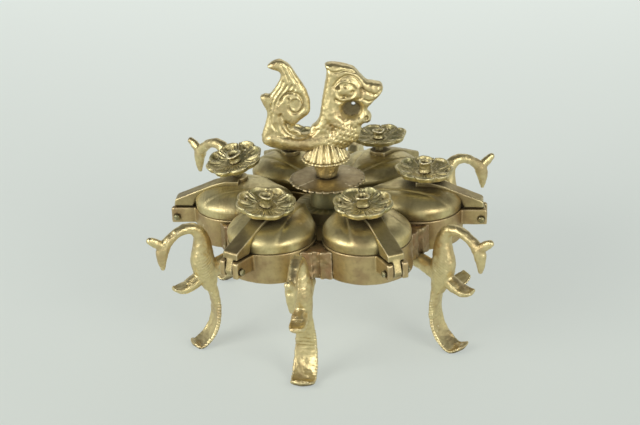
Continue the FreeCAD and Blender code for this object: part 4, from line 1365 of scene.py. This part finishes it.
# ------------------------------------------------------------------------------- studio
class Studio:
    """A pale board under soft light from above, and the camera."""

    camera_at = (63.8, -515.0, 265.1)
    camera_turn = (66.776, -2.518, 7.414)   # tilt, roll and pan, in degrees
    lens = 84.99
    lit_at = (0.0, 0.0, 0.045)              # what the lamps face, in metres

    def build(self) -> None:
        """Set up the floor, the light and the camera."""
        self.floor()
        self.world()
        self.softbox("Key", (-460.0, -380.0, 330.0), (420.0, 320.0), 2.6)
        self.softbox("Fill", (420.0, -420.0, 300.0), (300.0, 300.0), 1.8)
        self.softbox("Back", (60.0, 620.0, 480.0), (500.0, 300.0), 0.5)
        self.camera()
        bpy.context.scene.view_settings.view_transform = "Standard"

    def floor(self) -> None:
        """A wide pale board at the height of the feet."""
        skin = bmesh.new()
        bmesh.ops.create_grid(skin, x_segments=8, y_segments=8, size=3.0)
        drawn = bpy.data.meshes.new("Floor")
        skin.to_mesh(drawn)
        skin.free()
        drawn.materials.append(PaintedBoard().material())
        floor = bpy.data.objects.new("Floor", drawn)
        floor.location.z = CAD_BOUNDS[0][2]
        bpy.context.scene.collection.objects.link(floor)

    def world(self) -> None:
        """A soft room: nearly white at the height of the box, and dimmer overhead."""
        world = bpy.data.worlds.new("Room")
        world.use_nodes = True
        tree = world.node_tree
        tree.nodes.clear()
        place = add_node(tree, "ShaderNodeTexCoord")
        height = add_node(tree, "ShaderNodeSeparateXYZ", {0: place.outputs["Generated"]}).outputs[2]
        room = add_node(
            tree,
            "ShaderNodeMapRange",
            {"Value": height, "From Min": 0.0, "From Max": 0.65, "To Min": 0.98, "To Max": 0.12},
        )
        back = add_node(tree, "ShaderNodeBackground", {"Color": linear("#f3f6f2"), "Strength": room.outputs[0]})
        add_node(tree, "ShaderNodeOutputWorld", {"Surface": back.outputs[0]})
        bpy.context.scene.world = world

    def softbox(self, name: str, place: Sequence[float], size: Point, strength: float) -> None:
        """A rectangular soft light that faces the box.

        Args:
            name: its name.
            place: where it hangs, in millimetres.
            size: its width and height.
            strength: its power, in watts.
        """
        light = bpy.data.lights.new(name, "AREA")
        light.shape = "RECTANGLE"
        light.size, light.size_y = size[0] * MM, size[1] * MM
        light.energy = strength
        light.color = linear("#fffdf8")[:3]
        lamp = bpy.data.objects.new(name, light)
        lamp.location = Vector(place) * MM
        facing = Vector(self.lit_at) - lamp.location
        lamp.rotation_euler = facing.to_track_quat("-Z", "Y").to_euler()
        bpy.context.scene.collection.objects.link(lamp)

    def camera(self) -> None:
        """The camera, a little above the box and to its right."""
        lens = bpy.data.cameras.new("Camera")
        lens.lens = self.lens
        lens.sensor_width = 36.0
        lens.sensor_fit = "HORIZONTAL"
        lens.clip_start, lens.clip_end = 0.01, 20.0
        camera = bpy.data.objects.new("Camera", lens)
        tilt, roll, pan = (math.radians(a) for a in self.camera_turn)
        camera.matrix_world = (
            Matrix.Translation(Vector(self.camera_at) * MM)
            @ Matrix.Rotation(pan, 4, "Z")
            @ Matrix.Rotation(tilt, 4, "X")
            @ Matrix.Rotation(roll, 4, "Z")
        )
        bpy.context.scene.collection.objects.link(camera)
        bpy.context.scene.camera = camera


def main() -> None:
    """Build the box and its studio."""
    logging.basicConfig(level=logging.INFO, format="%(message)s")
    finishes = Finishes()
    for number in range(1, COUNT + 1):
        Compartment(number, finishes).build()
        BirdLeg(number, finishes).build()
    Centre(finishes).build()
    Finial(finishes).build()
    Studio().build()
    bpy.context.view_layer.update()


if __name__ == "__main__":
    main()
